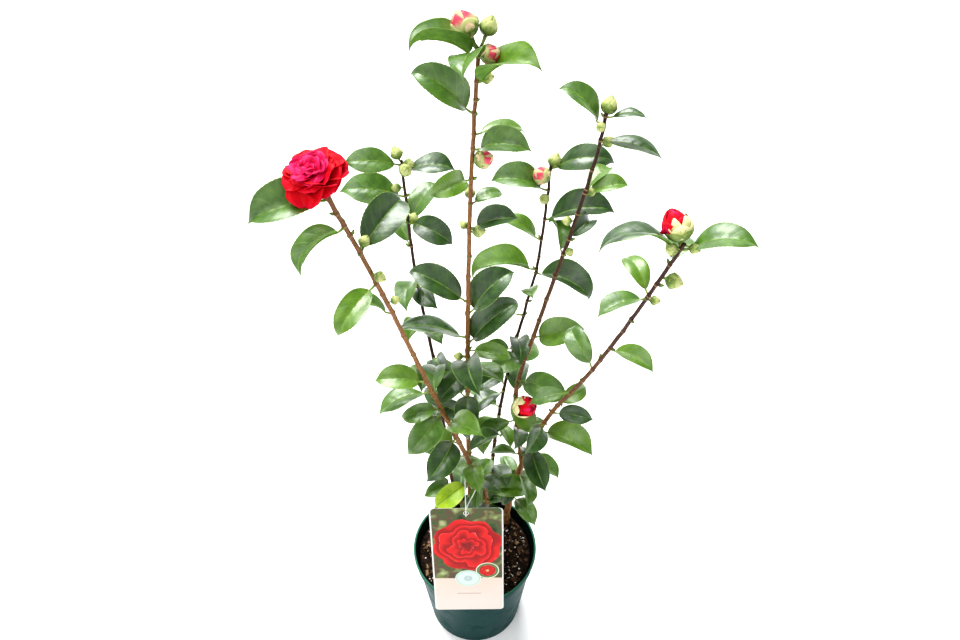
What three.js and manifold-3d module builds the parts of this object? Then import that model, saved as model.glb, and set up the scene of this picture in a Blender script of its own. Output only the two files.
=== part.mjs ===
// A camellia shrub growing in a round nursery pot, with a picture label hung on one stem.
//
// Lengths are millimetres and angles are degrees. +Z is up, +X is the shrub's right and -Y is
// the side that faces the viewer. The origin is the middle of the pot's flat underside.
// Three short rooted trunks rise from the soil. Each forks into two long thin stems, and the
// stems carry sprays of leaves. A heading is a compass bearing seen from above: 0 points along
// +X, 90 along +Y (away from the viewer), 180 to the left and 270 towards the viewer.

import * as THREE from "three";
import { mergeVertices } from "three/addons/utils/BufferGeometryUtils.js";
import Module from "manifold-3d";

const wasm = await Module();
wasm.setup();

// ---------------------------------------------------------------- driving dimensions

const POT = {
  height: 175,
  wall: 2,
  floor: 3,
  footRadius: 73,
  footRound: 1.5,
  bodyTopRadius: 90.1, // outside of the tapered body, just under the collar
  collarDepth: 19, // from the rim's top down to the collar's foot
  collarShoulder: 2, // height over which the body steps out to the collar
  collarFootRadius: 92.5,
  collarTopRadius: 93.8,
  rimDepth: 4,
  rimRound: 1.5,
  rimRadius: 95,
  rimWidth: 3,
  rimEase: 0.6, // the rim's outer edge leans in by this much at its top
  innerTopRadius: 89.1, // inside of the wall at the collar's foot
  drainHoles: 5,
  drainRadius: 5,
  drainCircle: 48,
  drainSides: 8,
};
const SOIL = { top: 158, clearance: 1, crumble: 3 }; // crumble: how far its top edge has dried in
const GAP = 0.4; // clearance between pieces that touch on the real plant
const COLLAR = SOIL.top + GAP; // where the trunks leave the soil

const LABEL = {
  width: 99,
  height: 210,
  thickness: 0.8,
  corner: 6,
  holeRadius: 3,
  holeDrop: 9, // hole centre below the top edge
  foot: new THREE.Vector3(-7, -108, 183), // middle of its lower edge
  leanBack: 11, // from upright, its top edge towards the stems
  swing: 1, // its top edge swings this far to the left
};
const LOOP_RADIUS = 0.8;

const LIMB_SIDES = 6;
const LIMB_STEPS = 12;
const POT_SIDES = 32;
const FLARE = { height: 14, extra: 0.5 }; // root flare of a trunk above the soil

// A lobe's usual size: width and arch are shares of its reach. Its edge and its thickness swell
// and shrink by the share wave, with the given pace along and across it.
const LEAF_PAD = { width: 0.5, thickness: 9, arch: 0.1, wave: 0.11, paceAlong: 5, paceAcross: 9 };
// The sleeve of leaf joints that holds a spray's lobes together round its limb.
const SLEEVE = { gap: 1.4, wall: 3, seat: 0.9, margin: 5, step: 40, sides: 5 };

// ---------------------------------------------------------------- the limbs
// Guide points run from the limb's foot to its tip; radii are at the foot and at the tip.

const TRUNKS = {
  trunk_left: { radii: [6, 4.8], steps: 5, guide: [[-7, 20, COLLAR], [-6, 18, 212]] },
  trunk_middle: { radii: [6, 4.6], steps: 5, guide: [[22, 38, COLLAR], [22, 34, 216]] },
  trunk_right: {
    radii: [5.2, 3.9],
    steps: 8,
    guide: [[48, 55, COLLAR], [55, 48, 235], [69, 36, 346]],
  },
};

const STEMS = {
  stem_leader: {
    trunk: "trunk_left",
    radii: [3.8, 1.9],
    guide: [[-6, 18, 213], [-8, 20, 500], [-5, 21, 720], [0, 23, 880], [7, 24, 1000]],
  },
  stem_back_left: {
    trunk: "trunk_left",
    radii: [2.9, 1.7],
    guide: [[-7, 19, 206], [-35, 40, 307], [-48, 67, 478], [-73, 98, 676], [-81, 120, 811]],
  },
  stem_left: {
    trunk: "trunk_middle",
    radii: [3.6, 2.1],
    guide: [
      [22, 33, 217],
      [12, 6, 330],
      [-8, -13, 422],
      [-49, -55, 620],
      [-89, -99, 824],
      [-118, -126, 950],
    ],
  },
  stem_back_right: {
    trunk: "trunk_middle",
    radii: [2.8, 1.6],
    guide: [
      [22, 35, 210],
      [28, 59, 346],
      [46, 83, 491],
      [79, 111, 659],
      [86, 123, 729],
      [90, 134, 796],
    ],
  },
  stem_right: {
    trunk: "trunk_right",
    radii: [3.4, 1.9],
    guide: [
      [69, 36, 347],
      [56, 50, 480],
      [80, 59, 606],
      [112, 71, 743],
      [136, 83, 860],
      [139, 85, 896],
    ],
  },
  stem_far_right: {
    trunk: "trunk_right",
    radii: [3.2, 1.9],
    guide: [[67, 38, 340], [99, -8, 516], [131, -32, 610], [161, -61, 725], [193, -100, 875]],
  },
};

// ---------------------------------------------------------------- the foliage masses
// Each mass is a list of lobes, and each lobe is [height of its joint on the limb, heading,
// rise, reach]. Rise is the angle above level and reach the distance from the joint to the tip.
// A lobe that seats a flower or a large bud adds its own width share and thickness.

const SPRAYS = {
  stem_leader: [
    [[1000, 201, 8, 66], [998, 260, 6, 72], [967, 327, 21, 76], [1000, 130, 68, 46]],
    [[932, 170, 28, 70]],
    [[912, 20, -20, 56], [889, 345, 8, 62]],
    [[854, 215, 0, 50], [823, 30, -8, 40]],
    [[791, 5, 10, 54]],
    [[684, 165, 20, 76], [667, 27, 29, 72]],
    [[624, 183, 5, 86], [616, 26, 26, 76], [604, 350, -8, 54]],
    [[589, 284, 4, 72], [574, 318, 5, 60], [560, 235, -2, 68]],
    [[537, 190, 10, 54], [522, 271, -14, 66]],
    [[475, 170, 20, 52], [441, 150, 20, 46]],
    [[388, 266, 20, 56]],
    [[317, 211, -15, 62]],
  ],
  stem_left: [
    [[944, 200, -8, 70], [950, 180, 50, 54, 1.15, 50]], // the second seats the open bloom
    [[907, 225, -28, 58]],
    [[870, 60, 10, 68]],
    [[824, 235, -22, 62]],
    [[776, 185, 10, 42]],
    [[634, 185, 5, 60], [613, 205, -12, 68]],
    [[562, 205, 0, 52], [555, 232, -8, 68]],
    [[489, 238, -10, 72]],
    [[413, 284, 3, 58]],
    [[367, 310, 15, 54]],
  ],
  stem_back_left: [
    [[804, 188, 5, 66], [795, 0, 0, 62], [765, 187, 8, 78]],
    [[732, 55, 12, 62], [728, 335, -12, 60], [698, 120, 0, 58]],
    [[656, 264, -2, 66], [644, 300, 3, 58]],
    [[588, 250, 10, 54], [574, 300, 12, 46]],
    [[528, 298, 6, 56], [515, 255, 6, 58]],
    [[378, 40, 10, 50], [345, 150, 0, 52]],
  ],
  stem_back_right: [
    [[790, 354, 6, 74], [761, 175, 5, 70]],
    [[723, 355, 8, 86], [695, 165, 16, 56]],
    [[652, 188, -7, 80], [647, 334, -16, 74], [628, 270, 20, 46]],
    [[546, 274, 5, 54], [528, 200, 0, 48], [489, 215, -5, 56]],
    [[454, 225, -10, 68], [425, 150, 0, 50], [410, 252, -10, 66]],
    [[333, 249, -28, 64], [324, 290, 0, 56]],
  ],
  stem_right: [
    [[888, 350, 0, 42], [879, 160, 28, 62], [860, 340, -8, 70]],
    [[798, 45, 5, 48], [796, 5, 5, 50]],
    [[735, 55, -5, 44], [714, 110, 8, 50]],
    [[522, 328, -10, 72], [500, 340, -24, 66]],
    [[431, 205, -12, 60], [422, 262, 12, 54], [411, 5, 5, 46], [382, 282, 4, 48]],
  ],
  stem_far_right: [
    [[865, 182, -6, 76], [875, 345, 8, 68], [838, 60, -5, 50], [875, 240, 72, 44, 0.8, 30]],
    [[786, 110, 0, 50], [782, 205, -5, 58]],
    [[681, 325, -8, 56], [630, 110, 15, 56]],
    [[517, 345, 0, 54]],
    [[461, 330, -6, 80]],
    [[397, 289, -15, 68]],
  ],
  trunk_right: [
    [[317, 278, -3, 64]],
    [[246, 304, -10, 62], [236, 195, 5, 56]],
  ],
};

// ---------------------------------------------------------------- materials

function material(color, roughness, metalness = 0) {
  return new THREE.MeshStandardMaterial({ color, roughness, metalness });
}

const POT_PLASTIC = material(0x14403f, 0.45);
const COMPOST = material(0x2e211b, 0.95);
const CARD = material(0xe8d9cf, 0.35);
const STRAP = material(0xf2f2ee, 0.4);
const BARK = material(0x8a5a36, 0.75);
const YOUNG_BARK = material(0x6b4a33, 0.7);
const FOLIAGE = material(0x3f6b2f, 0.35);

// ---------------------------------------------------------------- solids

const asSolid = (geometry) => {
  const bare = geometry.clone();
  bare.deleteAttribute("normal");
  bare.deleteAttribute("uv");
  const merged = mergeVertices(bare, 1e-4);
  return new wasm.Manifold(
    new wasm.Mesh({
      numProp: 3,
      vertProperties: new Float32Array(merged.attributes.position.array),
      triVerts: new Uint32Array(merged.index.array),
    }),
  );
};

const asGeometry = (solid) => {
  const mesh = solid.getMesh();
  const geometry = new THREE.BufferGeometry();
  geometry.setAttribute("position", new THREE.BufferAttribute(mesh.vertProperties, 3));
  geometry.setIndex(new THREE.BufferAttribute(mesh.triVerts, 1));
  geometry.computeVertexNormals();
  return geometry;
};

// The biggest body of a solid that a cut may have split.
const mainBody = (solid) =>
  solid.decompose().reduce((best, body) => (body.volume() > best.volume() ? body : best));

const plant = new THREE.Group();

function addPiece(name, geometry, finish) {
  const mesh = new THREE.Mesh(geometry, finish);
  mesh.name = name;
  plant.add(mesh);
  return mesh;
}

// Moves every vertex of a geometry by a function from old place to new place.
function reshape(geometry, move) {
  const place = geometry.attributes.position;
  const point = new THREE.Vector3();
  for (let i = 0; i < place.count; i += 1) {
    point.fromBufferAttribute(place, i);
    place.setXYZ(i, ...move(point).toArray());
  }
  return geometry;
}

// ---------------------------------------------------------------- pot and soil

function makePot() {
  const { height, wall, floor, footRadius, footRound, rimRadius, rimDepth } = POT;
  const collarFoot = height - POT.collarDepth;
  const outline = [
    [0, 0],
    [footRadius - footRound, 0],
    [footRadius, footRound],
    [POT.bodyTopRadius, collarFoot - POT.collarShoulder],
    [POT.collarFootRadius, collarFoot],
    [POT.collarTopRadius, height - rimDepth],
    [rimRadius, height - rimDepth + POT.rimRound],
    [rimRadius - POT.rimEase, height],
    [rimRadius - POT.rimWidth, height],
    [POT.innerTopRadius, collarFoot],
    [footRadius - wall, floor],
    [0, floor],
  ].map(([r, z]) => new THREE.Vector2(r, z));
  const shell = new THREE.LatheGeometry(outline, POT_SIDES).rotateX(Math.PI / 2);
  let pot = asSolid(shell);
  for (let i = 0; i < POT.drainHoles; i += 1) {
    const turn = ((i + 0.5) * 2 * Math.PI) / POT.drainHoles;
    const { drainRadius, drainSides } = POT;
    const drill = new THREE.CylinderGeometry(drainRadius, drainRadius, 4 * floor, drainSides)
      .rotateX(Math.PI / 2)
      .translate(POT.drainCircle * Math.cos(turn), POT.drainCircle * Math.sin(turn), 0);
    pot = pot.subtract(asSolid(drill));
  }
  addPiece("pot", asGeometry(pot), POT_PLASTIC);
}

function makeSoil() {
  const { height, wall, floor, footRadius, innerTopRadius, collarDepth } = POT;
  const outline = [
    [0, floor + GAP],
    [footRadius - wall - SOIL.clearance, floor + GAP],
    [innerTopRadius - SOIL.clearance, height - collarDepth - SOIL.clearance],
    [innerTopRadius - SOIL.crumble, SOIL.top],
    [0, SOIL.top],
  ].map(([r, z]) => new THREE.Vector2(r, z));
  addPiece("soil", new THREE.LatheGeometry(outline, POT_SIDES).rotateX(Math.PI / 2), COMPOST);
}

// ---------------------------------------------------------------- limbs

const curveOf = (guide) =>
  new THREE.CatmullRomCurve3(guide.map((point) => new THREE.Vector3(...point)));

// The share along a rising curve at which it reaches a height.
function shareAt(curve, height) {
  let low = 0;
  let high = 1;
  for (let i = 0; i < 24; i += 1) {
    const middle = (low + high) / 2;
    if (curve.getPointAt(middle).z < height) low = middle;
    else high = middle;
  }
  return (low + high) / 2;
}

// A closed cylinder bent along a curve between two shares of it, with its ends square to +Z
// at the foot and to the curve elsewhere. radiusAt gives the radius at a share.
function bentLimb(curve, steps, radiusAt, from = 0, to = 1) {
  const straight = new THREE.CylinderGeometry(1, 1, 1, LIMB_SIDES, steps).rotateX(Math.PI / 2);
  return reshape(straight, (point) => {
    const share = from + (to - from) * (point.z + 0.5);
    const middle = curve.getPointAt(share);
    const along = curve.getTangentAt(share);
    const upright = share === 0 ? new THREE.Vector3(0, 0, 1) : along;
    const turn = new THREE.Quaternion().setFromUnitVectors(new THREE.Vector3(0, 0, 1), upright);
    const offset = new THREE.Vector3(point.x, point.y, 0).multiplyScalar(radiusAt(share));
    return middle.clone().add(offset.applyQuaternion(turn));
  });
}

const limbs = {};

function describeTrunk(name, { radii, steps, guide }) {
  const curve = curveOf(guide);
  const length = curve.getLength();
  const radiusAt = (share) => {
    const flare = Math.max(0, 1 - (share * length) / FLARE.height) ** 2 * FLARE.extra;
    return THREE.MathUtils.lerp(radii[0], radii[1], share) * (1 + flare);
  };
  limbs[name] = { curve, steps, radiusAt };
}

function describeStem(name, { radii, guide }) {
  const radiusAt = (share) => THREE.MathUtils.lerp(radii[0], radii[1], share ** 0.9);
  limbs[name] = { curve: curveOf(guide), steps: LIMB_STEPS, radiusAt };
}

const limbSolid = ({ curve, steps, radiusAt }, swell = 0) =>
  asSolid(bentLimb(curve, steps, (share) => radiusAt(share) + swell));

function makeLimbs() {
  Object.entries(TRUNKS).forEach(([name, sizes]) => describeTrunk(name, sizes));
  Object.entries(STEMS).forEach(([name, sizes]) => describeStem(name, sizes));
  const placed = [];
  for (const [name, limb] of Object.entries(limbs)) {
    // A stem stops short of its own trunk and of the other stem that forks from it.
    const trunk = STEMS[name]?.trunk;
    const sharesFork = (other) => other === trunk || STEMS[other]?.trunk === trunk;
    let solid = limbSolid(limb);
    for (const other of trunk ? placed.filter(sharesFork) : []) {
      solid = solid.subtract(limbSolid(limbs[other], GAP));
    }
    limb.clearance = limbSolid(limb, GAP);
    addPiece(name, asGeometry(mainBody(solid)), trunk ? YOUNG_BARK : BARK);
    placed.push(name);
  }
}

// ---------------------------------------------------------------- foliage

// One lobe: an arched, uneven pad with a leaf's outline. It starts beside the limb, in the
// sleeve when the spray has one, and ends at its tip.
function leafPad(limb, lobe, seed) {
  const [height, heading, rise, reach, ...own] = lobe;
  const [widthShare, thickness] = own.length ? own : [LEAF_PAD.width, LEAF_PAD.thickness];
  const highest = 1 - SLEEVE.margin / limb.curve.getLength();
  const share = Math.min(shareAt(limb.curve, height), highest);
  const joint = limb.curve.getPointAt(share);
  const limbAxis = limb.curve.getTangentAt(share);
  const aim = new THREE.Vector3(1, 0, 0)
    .applyAxisAngle(new THREE.Vector3(0, 1, 0), -THREE.MathUtils.degToRad(rise))
    .applyAxisAngle(new THREE.Vector3(0, 0, 1), THREE.MathUtils.degToRad(heading));
  const outward = aim.clone().projectOnPlane(limbAxis).normalize();
  const clear = limb.radiusAt(share) + SLEEVE.gap + SLEEVE.seat;
  const start = joint.clone().addScaledVector(outward, clear);
  const tip = joint.clone().addScaledVector(aim, reach);
  const blade = tip.clone().sub(start);
  const across = new THREE.Vector3(0, 0, 1).cross(blade).normalize();
  const above = blade.clone().cross(across).normalize();
  const width = widthShare * reach;
  const pad = new THREE.SphereGeometry(0.5, 4, 5).rotateZ(-Math.PI / 2);
  return reshape(pad, (point) => {
    const run = point.x + 0.5;
    const along = Math.sin(LEAF_PAD.paceAlong * run + seed);
    const sideways = Math.sin(LEAF_PAD.paceAcross * point.y + 2 * seed);
    const uneven = 1 + LEAF_PAD.wave * (along + sideways);
    const arch = 4 * run * (1 - run) * LEAF_PAD.arch * reach;
    return start
      .clone()
      .addScaledVector(blade, run)
      .addScaledVector(across, point.y * width * uneven)
      .addScaledVector(above, point.z * thickness * uneven + arch);
  });
}

// The leaf joints of one spray, as a short sleeve that stands clear of the limb all round.
function jointSleeve(limb, lowest, highest) {
  const from = Math.max(0, shareAt(limb.curve, lowest - SLEEVE.margin));
  const to = Math.min(1, shareAt(limb.curve, highest + SLEEVE.margin));
  const steps = Math.max(1, Math.round((highest - lowest) / SLEEVE.step));
  const outline = [new THREE.Vector2(1, -0.5), new THREE.Vector2(2, -0.5)];
  for (let i = 1; i <= steps; i += 1) outline.push(new THREE.Vector2(2, i / steps - 0.5));
  for (let i = steps; i > 0; i -= 1) outline.push(new THREE.Vector2(1, i / steps - 0.5));
  outline.push(outline[0].clone());
  const ring = new THREE.LatheGeometry(outline, SLEEVE.sides).rotateX(Math.PI / 2);
  return reshape(ring, (point) => {
    const share = from + (to - from) * (point.z + 0.5);
    const axis = new THREE.Vector3(0, 0, 1);
    const turn = new THREE.Quaternion().setFromUnitVectors(axis, limb.curve.getTangentAt(share));
    const flat = new THREE.Vector3(point.x, point.y, 0);
    const layer = flat.length() > 1.5 ? SLEEVE.gap + SLEEVE.wall : SLEEVE.gap;
    return flat
      .setLength(limb.radiusAt(share) + layer)
      .applyQuaternion(turn)
      .add(limb.curve.getPointAt(share));
  });
}

// A copy pushed out along its vertex normals, to cut neighbours back with room to spare.
function swollen(solid) {
  const geometry = asGeometry(solid);
  const normals = geometry.attributes.normal;
  const place = geometry.attributes.position;
  const point = new THREE.Vector3();
  const normal = new THREE.Vector3();
  for (let i = 0; i < place.count; i += 1) {
    point.fromBufferAttribute(place, i);
    normal.fromBufferAttribute(normals, i);
    place.setXYZ(i, ...point.addScaledVector(normal, 2 * GAP).toArray());
  }
  return asSolid(geometry);
}

const masses = [];

function makeSpray(limbName, lobes, index) {
  const limb = limbs[limbName];
  const heights = lobes.map(([height]) => height);
  const pads = lobes.map((lobe, i) => asSolid(leafPad(limb, lobe, index + 1.7 * i)));
  let mass = pads[0];
  if (pads.length > 1) {
    mass = asSolid(jointSleeve(limb, Math.min(...heights), Math.max(...heights)));
    for (const pad of pads) mass = mass.add(pad);
  }
  const neighbours = Object.values(limbs).map(({ clearance }) => clearance);
  for (const neighbour of [...neighbours, ...masses]) {
    if (mass.intersect(neighbour).volume() > 0) mass = mainBody(mass.subtract(neighbour));
  }
  masses.push(swollen(mass));
  addPiece(`foliage_${limbName.replace("stem_", "")}_${index + 1}`, asGeometry(mass), FOLIAGE);
}

function makeFoliage() {
  for (const [limbName, sprays] of Object.entries(SPRAYS)) {
    sprays.forEach((lobes, index) => makeSpray(limbName, lobes, index));
  }
}

// ---------------------------------------------------------------- label

function makeLabel() {
  const { width, height, corner, thickness, holeRadius, holeDrop } = LABEL;
  const half = width / 2;
  const card = new THREE.Shape();
  card.moveTo(-half + corner, 0);
  card.lineTo(half - corner, 0);
  card.absarc(half - corner, corner, corner, -Math.PI / 2, 0);
  card.absarc(half - corner, height - corner, corner, 0, Math.PI / 2);
  card.absarc(-half + corner, height - corner, corner, Math.PI / 2, Math.PI);
  card.absarc(-half + corner, corner, corner, Math.PI, 1.5 * Math.PI);
  const hole = new THREE.Path();
  hole.absarc(0, height - holeDrop, holeRadius, 0, 2 * Math.PI, true);
  card.holes.push(hole);
  const sheet = new THREE.ExtrudeGeometry(card, {
    depth: thickness,
    bevelEnabled: false,
    curveSegments: 3,
  });
  const hung = new THREE.Group();
  hung.position.copy(LABEL.foot);
  hung.rotation.x = THREE.MathUtils.degToRad(90 - LABEL.leanBack);
  const mesh = addPiece("label_card", sheet, CARD);
  mesh.rotation.z = THREE.MathUtils.degToRad(LABEL.swing);
  hung.add(mesh);
  plant.add(hung);
}

function makeLoop() {
  // Through the card's hole, over its top edge and round the left stem.
  const route = [
    [-10.5, -76, 382],
    [-10.5, -75, 392],
    [-11, -64, 397],
    [-12, -34, 394],
    [-10, -9, 391],
    [-1, 3, 390],
    [8, -8, 389],
    [3, -34, 385],
    [-10, -62, 379],
  ].map((point) => new THREE.Vector3(...point));
  const circle = new THREE.Shape().absarc(0, 0, LOOP_RADIUS, 0, 2 * Math.PI);
  const strap = new THREE.ExtrudeGeometry(circle, {
    steps: 20,
    curveSegments: 3,
    bevelEnabled: false,
    extrudePath: new THREE.CatmullRomCurve3(route, true),
  });
  addPiece("label_loop", strap, STRAP);
}

// ---------------------------------------------------------------- assembly

makePot();
makeSoil();
makeLimbs();
makeFoliage();
makeLabel();
makeLoop();

export default plant;
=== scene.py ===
# %% [markdown]
# # A young camellia in its nursery pot
#
# A plain solid model already says where everything is: three short trunks, six long stems,
# a lump for every spray of leaves, a pot, its compost and a hanging label. This lesson grows
# the real surfaces onto those solids. The solids are never moved. Each new piece reads its
# place from them, and then stands in for them.

# %% Load the solids
import math
import random

import bpy
import numpy as np
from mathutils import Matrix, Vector, noise


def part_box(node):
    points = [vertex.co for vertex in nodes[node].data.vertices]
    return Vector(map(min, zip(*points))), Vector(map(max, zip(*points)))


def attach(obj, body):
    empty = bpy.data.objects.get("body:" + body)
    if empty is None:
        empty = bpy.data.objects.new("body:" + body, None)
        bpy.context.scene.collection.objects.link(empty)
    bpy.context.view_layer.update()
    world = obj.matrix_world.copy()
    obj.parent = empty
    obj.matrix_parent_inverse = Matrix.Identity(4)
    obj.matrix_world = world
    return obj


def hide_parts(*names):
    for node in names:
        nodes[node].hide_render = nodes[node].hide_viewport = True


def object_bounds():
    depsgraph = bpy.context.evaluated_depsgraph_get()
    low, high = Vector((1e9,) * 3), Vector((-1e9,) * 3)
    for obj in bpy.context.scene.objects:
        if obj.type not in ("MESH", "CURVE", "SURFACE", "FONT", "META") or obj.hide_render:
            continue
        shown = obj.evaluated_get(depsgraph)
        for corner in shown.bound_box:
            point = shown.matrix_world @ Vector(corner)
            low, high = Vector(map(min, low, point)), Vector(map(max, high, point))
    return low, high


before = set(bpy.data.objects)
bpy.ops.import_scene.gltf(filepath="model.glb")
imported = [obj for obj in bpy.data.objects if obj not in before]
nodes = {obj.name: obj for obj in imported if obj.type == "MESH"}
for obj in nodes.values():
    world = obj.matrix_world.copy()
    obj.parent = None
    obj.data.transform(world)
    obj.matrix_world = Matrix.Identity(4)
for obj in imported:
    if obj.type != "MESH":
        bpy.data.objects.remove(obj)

MM = 0.001
cad_low, cad_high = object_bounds()
print("solids:", len(nodes), "nodes, box", tuple(cad_low), tuple(cad_high))

# %% [markdown]
# ## Small vector tools
#
# Everything that grows is laid out with arrays of points, so a few helpers come first. A
# heading is a compass bearing seen from above, and a rise is an angle above level. The same
# two numbers aim a leaf, a bud and a flower.

# %% Vector tools
UP = np.array([0.0, 0.0, 1.0])


def unit(vector):
    """The same direction with length one, for one vector or for a row of them."""
    vector = np.asarray(vector, float)
    return vector / np.maximum(np.linalg.norm(vector, axis=-1, keepdims=True), 1e-12)


def aim(heading, rise):
    """The direction of a compass heading and a rise, both in degrees."""
    turn, lift = math.radians(heading), math.radians(rise)
    return np.array([math.cos(lift) * math.cos(turn), math.cos(lift) * math.sin(turn), math.sin(lift)])


def swing(vector, axis, degrees):
    """A vector turned about an axis."""
    angle = math.radians(degrees)
    axis = unit(axis)
    turned = vector * math.cos(angle) + np.cross(axis, vector) * math.sin(angle)
    return turned + axis * np.dot(axis, vector) * (1 - math.cos(angle))


def ease(low, high, values):
    """A smooth step from 0 at low to 1 at high."""
    share = np.clip((values - low) / (high - low), 0, 1)
    return share * share * (3 - 2 * share)


def full_turn(sides):
    """Even angles all the way round, in radians."""
    return np.linspace(0, 2 * math.pi, sides, endpoint=False)


def corners(node):
    """Each corner of a node's mesh once, in metres."""
    mesh = nodes[node].data
    flat = np.zeros(len(mesh.vertices) * 3)
    mesh.vertices.foreach_get("co", flat)
    return np.unique(np.round(flat.reshape(-1, 3), 5), axis=0)


# %% [markdown]
# ## Joined meshes
#
# A plant is thousands of small surfaces. A separate object for each would be slow, and particles don't
# survive an export, so a Batch gathers the small surfaces of one kind and turns them into one mesh. Two
# makers fill it. A skin is a thin closed shell along a spine, which serves for leaves, petals and bud
# scales. A tube is a closed rod of changing thickness, which serves for bark, stalks and the label's
# eyelet.

# %% Batch, skin and tube
class Batch:
    """Gathers small closed surfaces into one mesh with several finishes."""

    def __init__(self, name, finishes, slot):
        self.name, self.finishes, self.slot = name, finishes, slot
        self.points, self.faces, self.finish, self.uv = [], [], [], []
        self.count = 0

    def add(self, points, faces, finish, uv=None):
        """Adds points (n, 3), quads (m, 4) and a finish number for all or for each quad."""
        self.faces += (faces + self.count).tolist()
        self.finish += np.broadcast_to(finish, len(faces)).tolist()
        self.points.append(points)
        self.uv.append(np.zeros((len(points), 2)) if uv is None else uv)
        self.count += len(points)
        return self.count - len(points)

    def cap(self, ring, finish):
        """Closes a tube's end with one polygon."""
        self.faces.append([int(i) for i in ring])
        self.finish.append(finish)

    def build(self, replaced=(), smooth=True):
        """Makes the object, lets it ride on the plant and stand in for its solids."""
        mesh = bpy.data.meshes.new(self.name)
        mesh.from_pydata(np.concatenate(self.points), [], self.faces)
        for finish in self.finishes:
            mesh.materials.append(finish)
        mesh.polygons.foreach_set("material_index", np.array(self.finish, np.int32))
        mesh.polygons.foreach_set("use_smooth", np.full(len(mesh.polygons), smooth))
        layer = mesh.uv_layers.new(name="Surface")
        at = np.zeros(len(mesh.loops), np.int32)
        mesh.loops.foreach_get("vertex_index", at)
        layer.data.foreach_set("uv", np.concatenate(self.uv)[at].ravel())
        mesh.update()
        return place(bpy.data.objects.new(self.name, mesh), replaced)


def place(piece, replaced=()):
    """Puts a finished piece in the scene, riding on the plant's one body."""
    bpy.context.scene.collection.objects.link(piece)
    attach(piece, "root")
    if replaced:
        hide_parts(*replaced)
    triangles = sum(len(face.vertices) - 2 for face in piece.data.polygons)
    print(f"{piece.name}: {triangles} triangles, stands for {len(replaced)} solids")
    return piece


def quads(rows, columns, closed=False):
    """The quads of a grid of points, counted row by row."""
    row = np.arange(rows - 1)[:, None] * columns
    column = np.arange(columns if closed else columns - 1)[None]
    after = (column + 1) % columns
    corners_of = [row + column, row + after, row + columns + after, row + columns + column]
    return np.stack([np.broadcast_to(c, (rows - 1, column.size)) for c in corners_of], -1).reshape(-1, 4)


def skin(batch, spine, side, up, half, across, lift, thick, strips, under, rim):
    """A thin closed shell: rows along a spine, columns across it, lifted off it by lift."""
    rows, columns = lift.shape
    reach = half[:, None] * across if half.ndim == 1 else half * across
    top = spine[:, None] + side[:, None] * reach[..., None] + up[:, None] * lift[..., None]
    bottom = top - up[:, None] * thick
    along = np.linspace(0, 1, rows)[:, None] + 0 * across
    uv = np.stack([along, np.broadcast_to(across / 2 + 0.5, along.shape)], -1).reshape(-1, 2)
    total = rows * columns
    face = quads(rows, columns)
    edge = np.concatenate([
        np.arange(columns),
        np.arange(2, rows) * columns - 1,
        np.arange(total - 1, total - columns - 1, -1),
        np.arange(rows - 2, 0, -1) * columns,
    ])
    turn = np.roll(edge, -1)
    wall = np.stack([edge, edge + total, turn + total, turn], -1)
    everything = np.concatenate([face, face[:, ::-1] + total, wall])
    finish = np.concatenate([
        np.tile(strips, rows - 1),
        np.full(len(face), under),
        np.full(len(wall), rim),
    ])
    batch.add(np.concatenate([top.reshape(-1, 3), bottom.reshape(-1, 3)]), everything, finish,
              np.concatenate([uv, uv]))


def tube(batch, spine, radius, sides, finish=0, reference=None):
    """A closed rod along a spine. radius is one value a row, or one for every point."""
    spine = np.asarray(spine, float)
    rows = len(spine)
    along = unit(np.gradient(spine, axis=0))
    if reference is None:
        reference = UP if abs(along[0][2]) < 0.85 else np.array([1.0, 0.0, 0.0])
    first = unit(np.cross(along, reference))
    second = np.cross(along, first)
    turn = full_turn(sides)
    radius = np.asarray(radius, float)
    radius = radius if radius.ndim == 2 else np.repeat(radius[:, None], sides, 1)
    ring = first[:, None] * np.cos(turn)[:, None] + second[:, None] * np.sin(turn)[:, None]
    points = (spine[:, None] + ring * radius[..., None]).reshape(-1, 3)
    length = np.concatenate([[0], np.cumsum(np.linalg.norm(np.diff(spine, axis=0), axis=1))])
    uv = np.stack([np.repeat(length, sides), np.tile(turn, rows)], -1)
    start = batch.add(points, quads(rows, sides, closed=True), finish, uv)
    batch.cap(range(start + sides - 1, start - 1, -1), finish)
    batch.cap(range(start + (rows - 1) * sides, start + rows * sides), finish)


# %% [markdown]
# ## Finishes as sums
#
# A finish is a graph of nodes, and a graph is hard to read. Two small classes make it read
# like arithmetic. A Field is a value that varies over the surface and can be added and
# multiplied. A Finish holds one material and makes any other node from its type, its
# settings and the values of its sockets.

# %% Field and Finish
class Field:
    """A socket's value at every point of a surface, ready for sums."""

    def __init__(self, finish, socket):
        self.finish, self.socket = finish, socket

    def _sum(self, operation, first, second):
        return self.finish.node("ShaderNodeMath", {"operation": operation}, {0: first, 1: second})

    def __add__(self, other):
        return self._sum("ADD", self, other)

    def __sub__(self, other):
        return self._sum("SUBTRACT", self, other)

    def __mul__(self, other):
        return self._sum("MULTIPLY", self, other)

    def __truediv__(self, other):
        return self._sum("DIVIDE", self, other)

    def __pow__(self, other):
        return self._sum("POWER", self, other)

    def __lt__(self, other):
        return self._sum("LESS_THAN", self, other)

    def __rsub__(self, other):
        return self._sum("SUBTRACT", other, self)

    __radd__, __rmul__ = __add__, __mul__

    def apply(self, operation, other=0.0):
        """Any other Math operation, such as SINE, FRACT or MAXIMUM."""
        return self._sum(operation, self, other)


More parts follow.
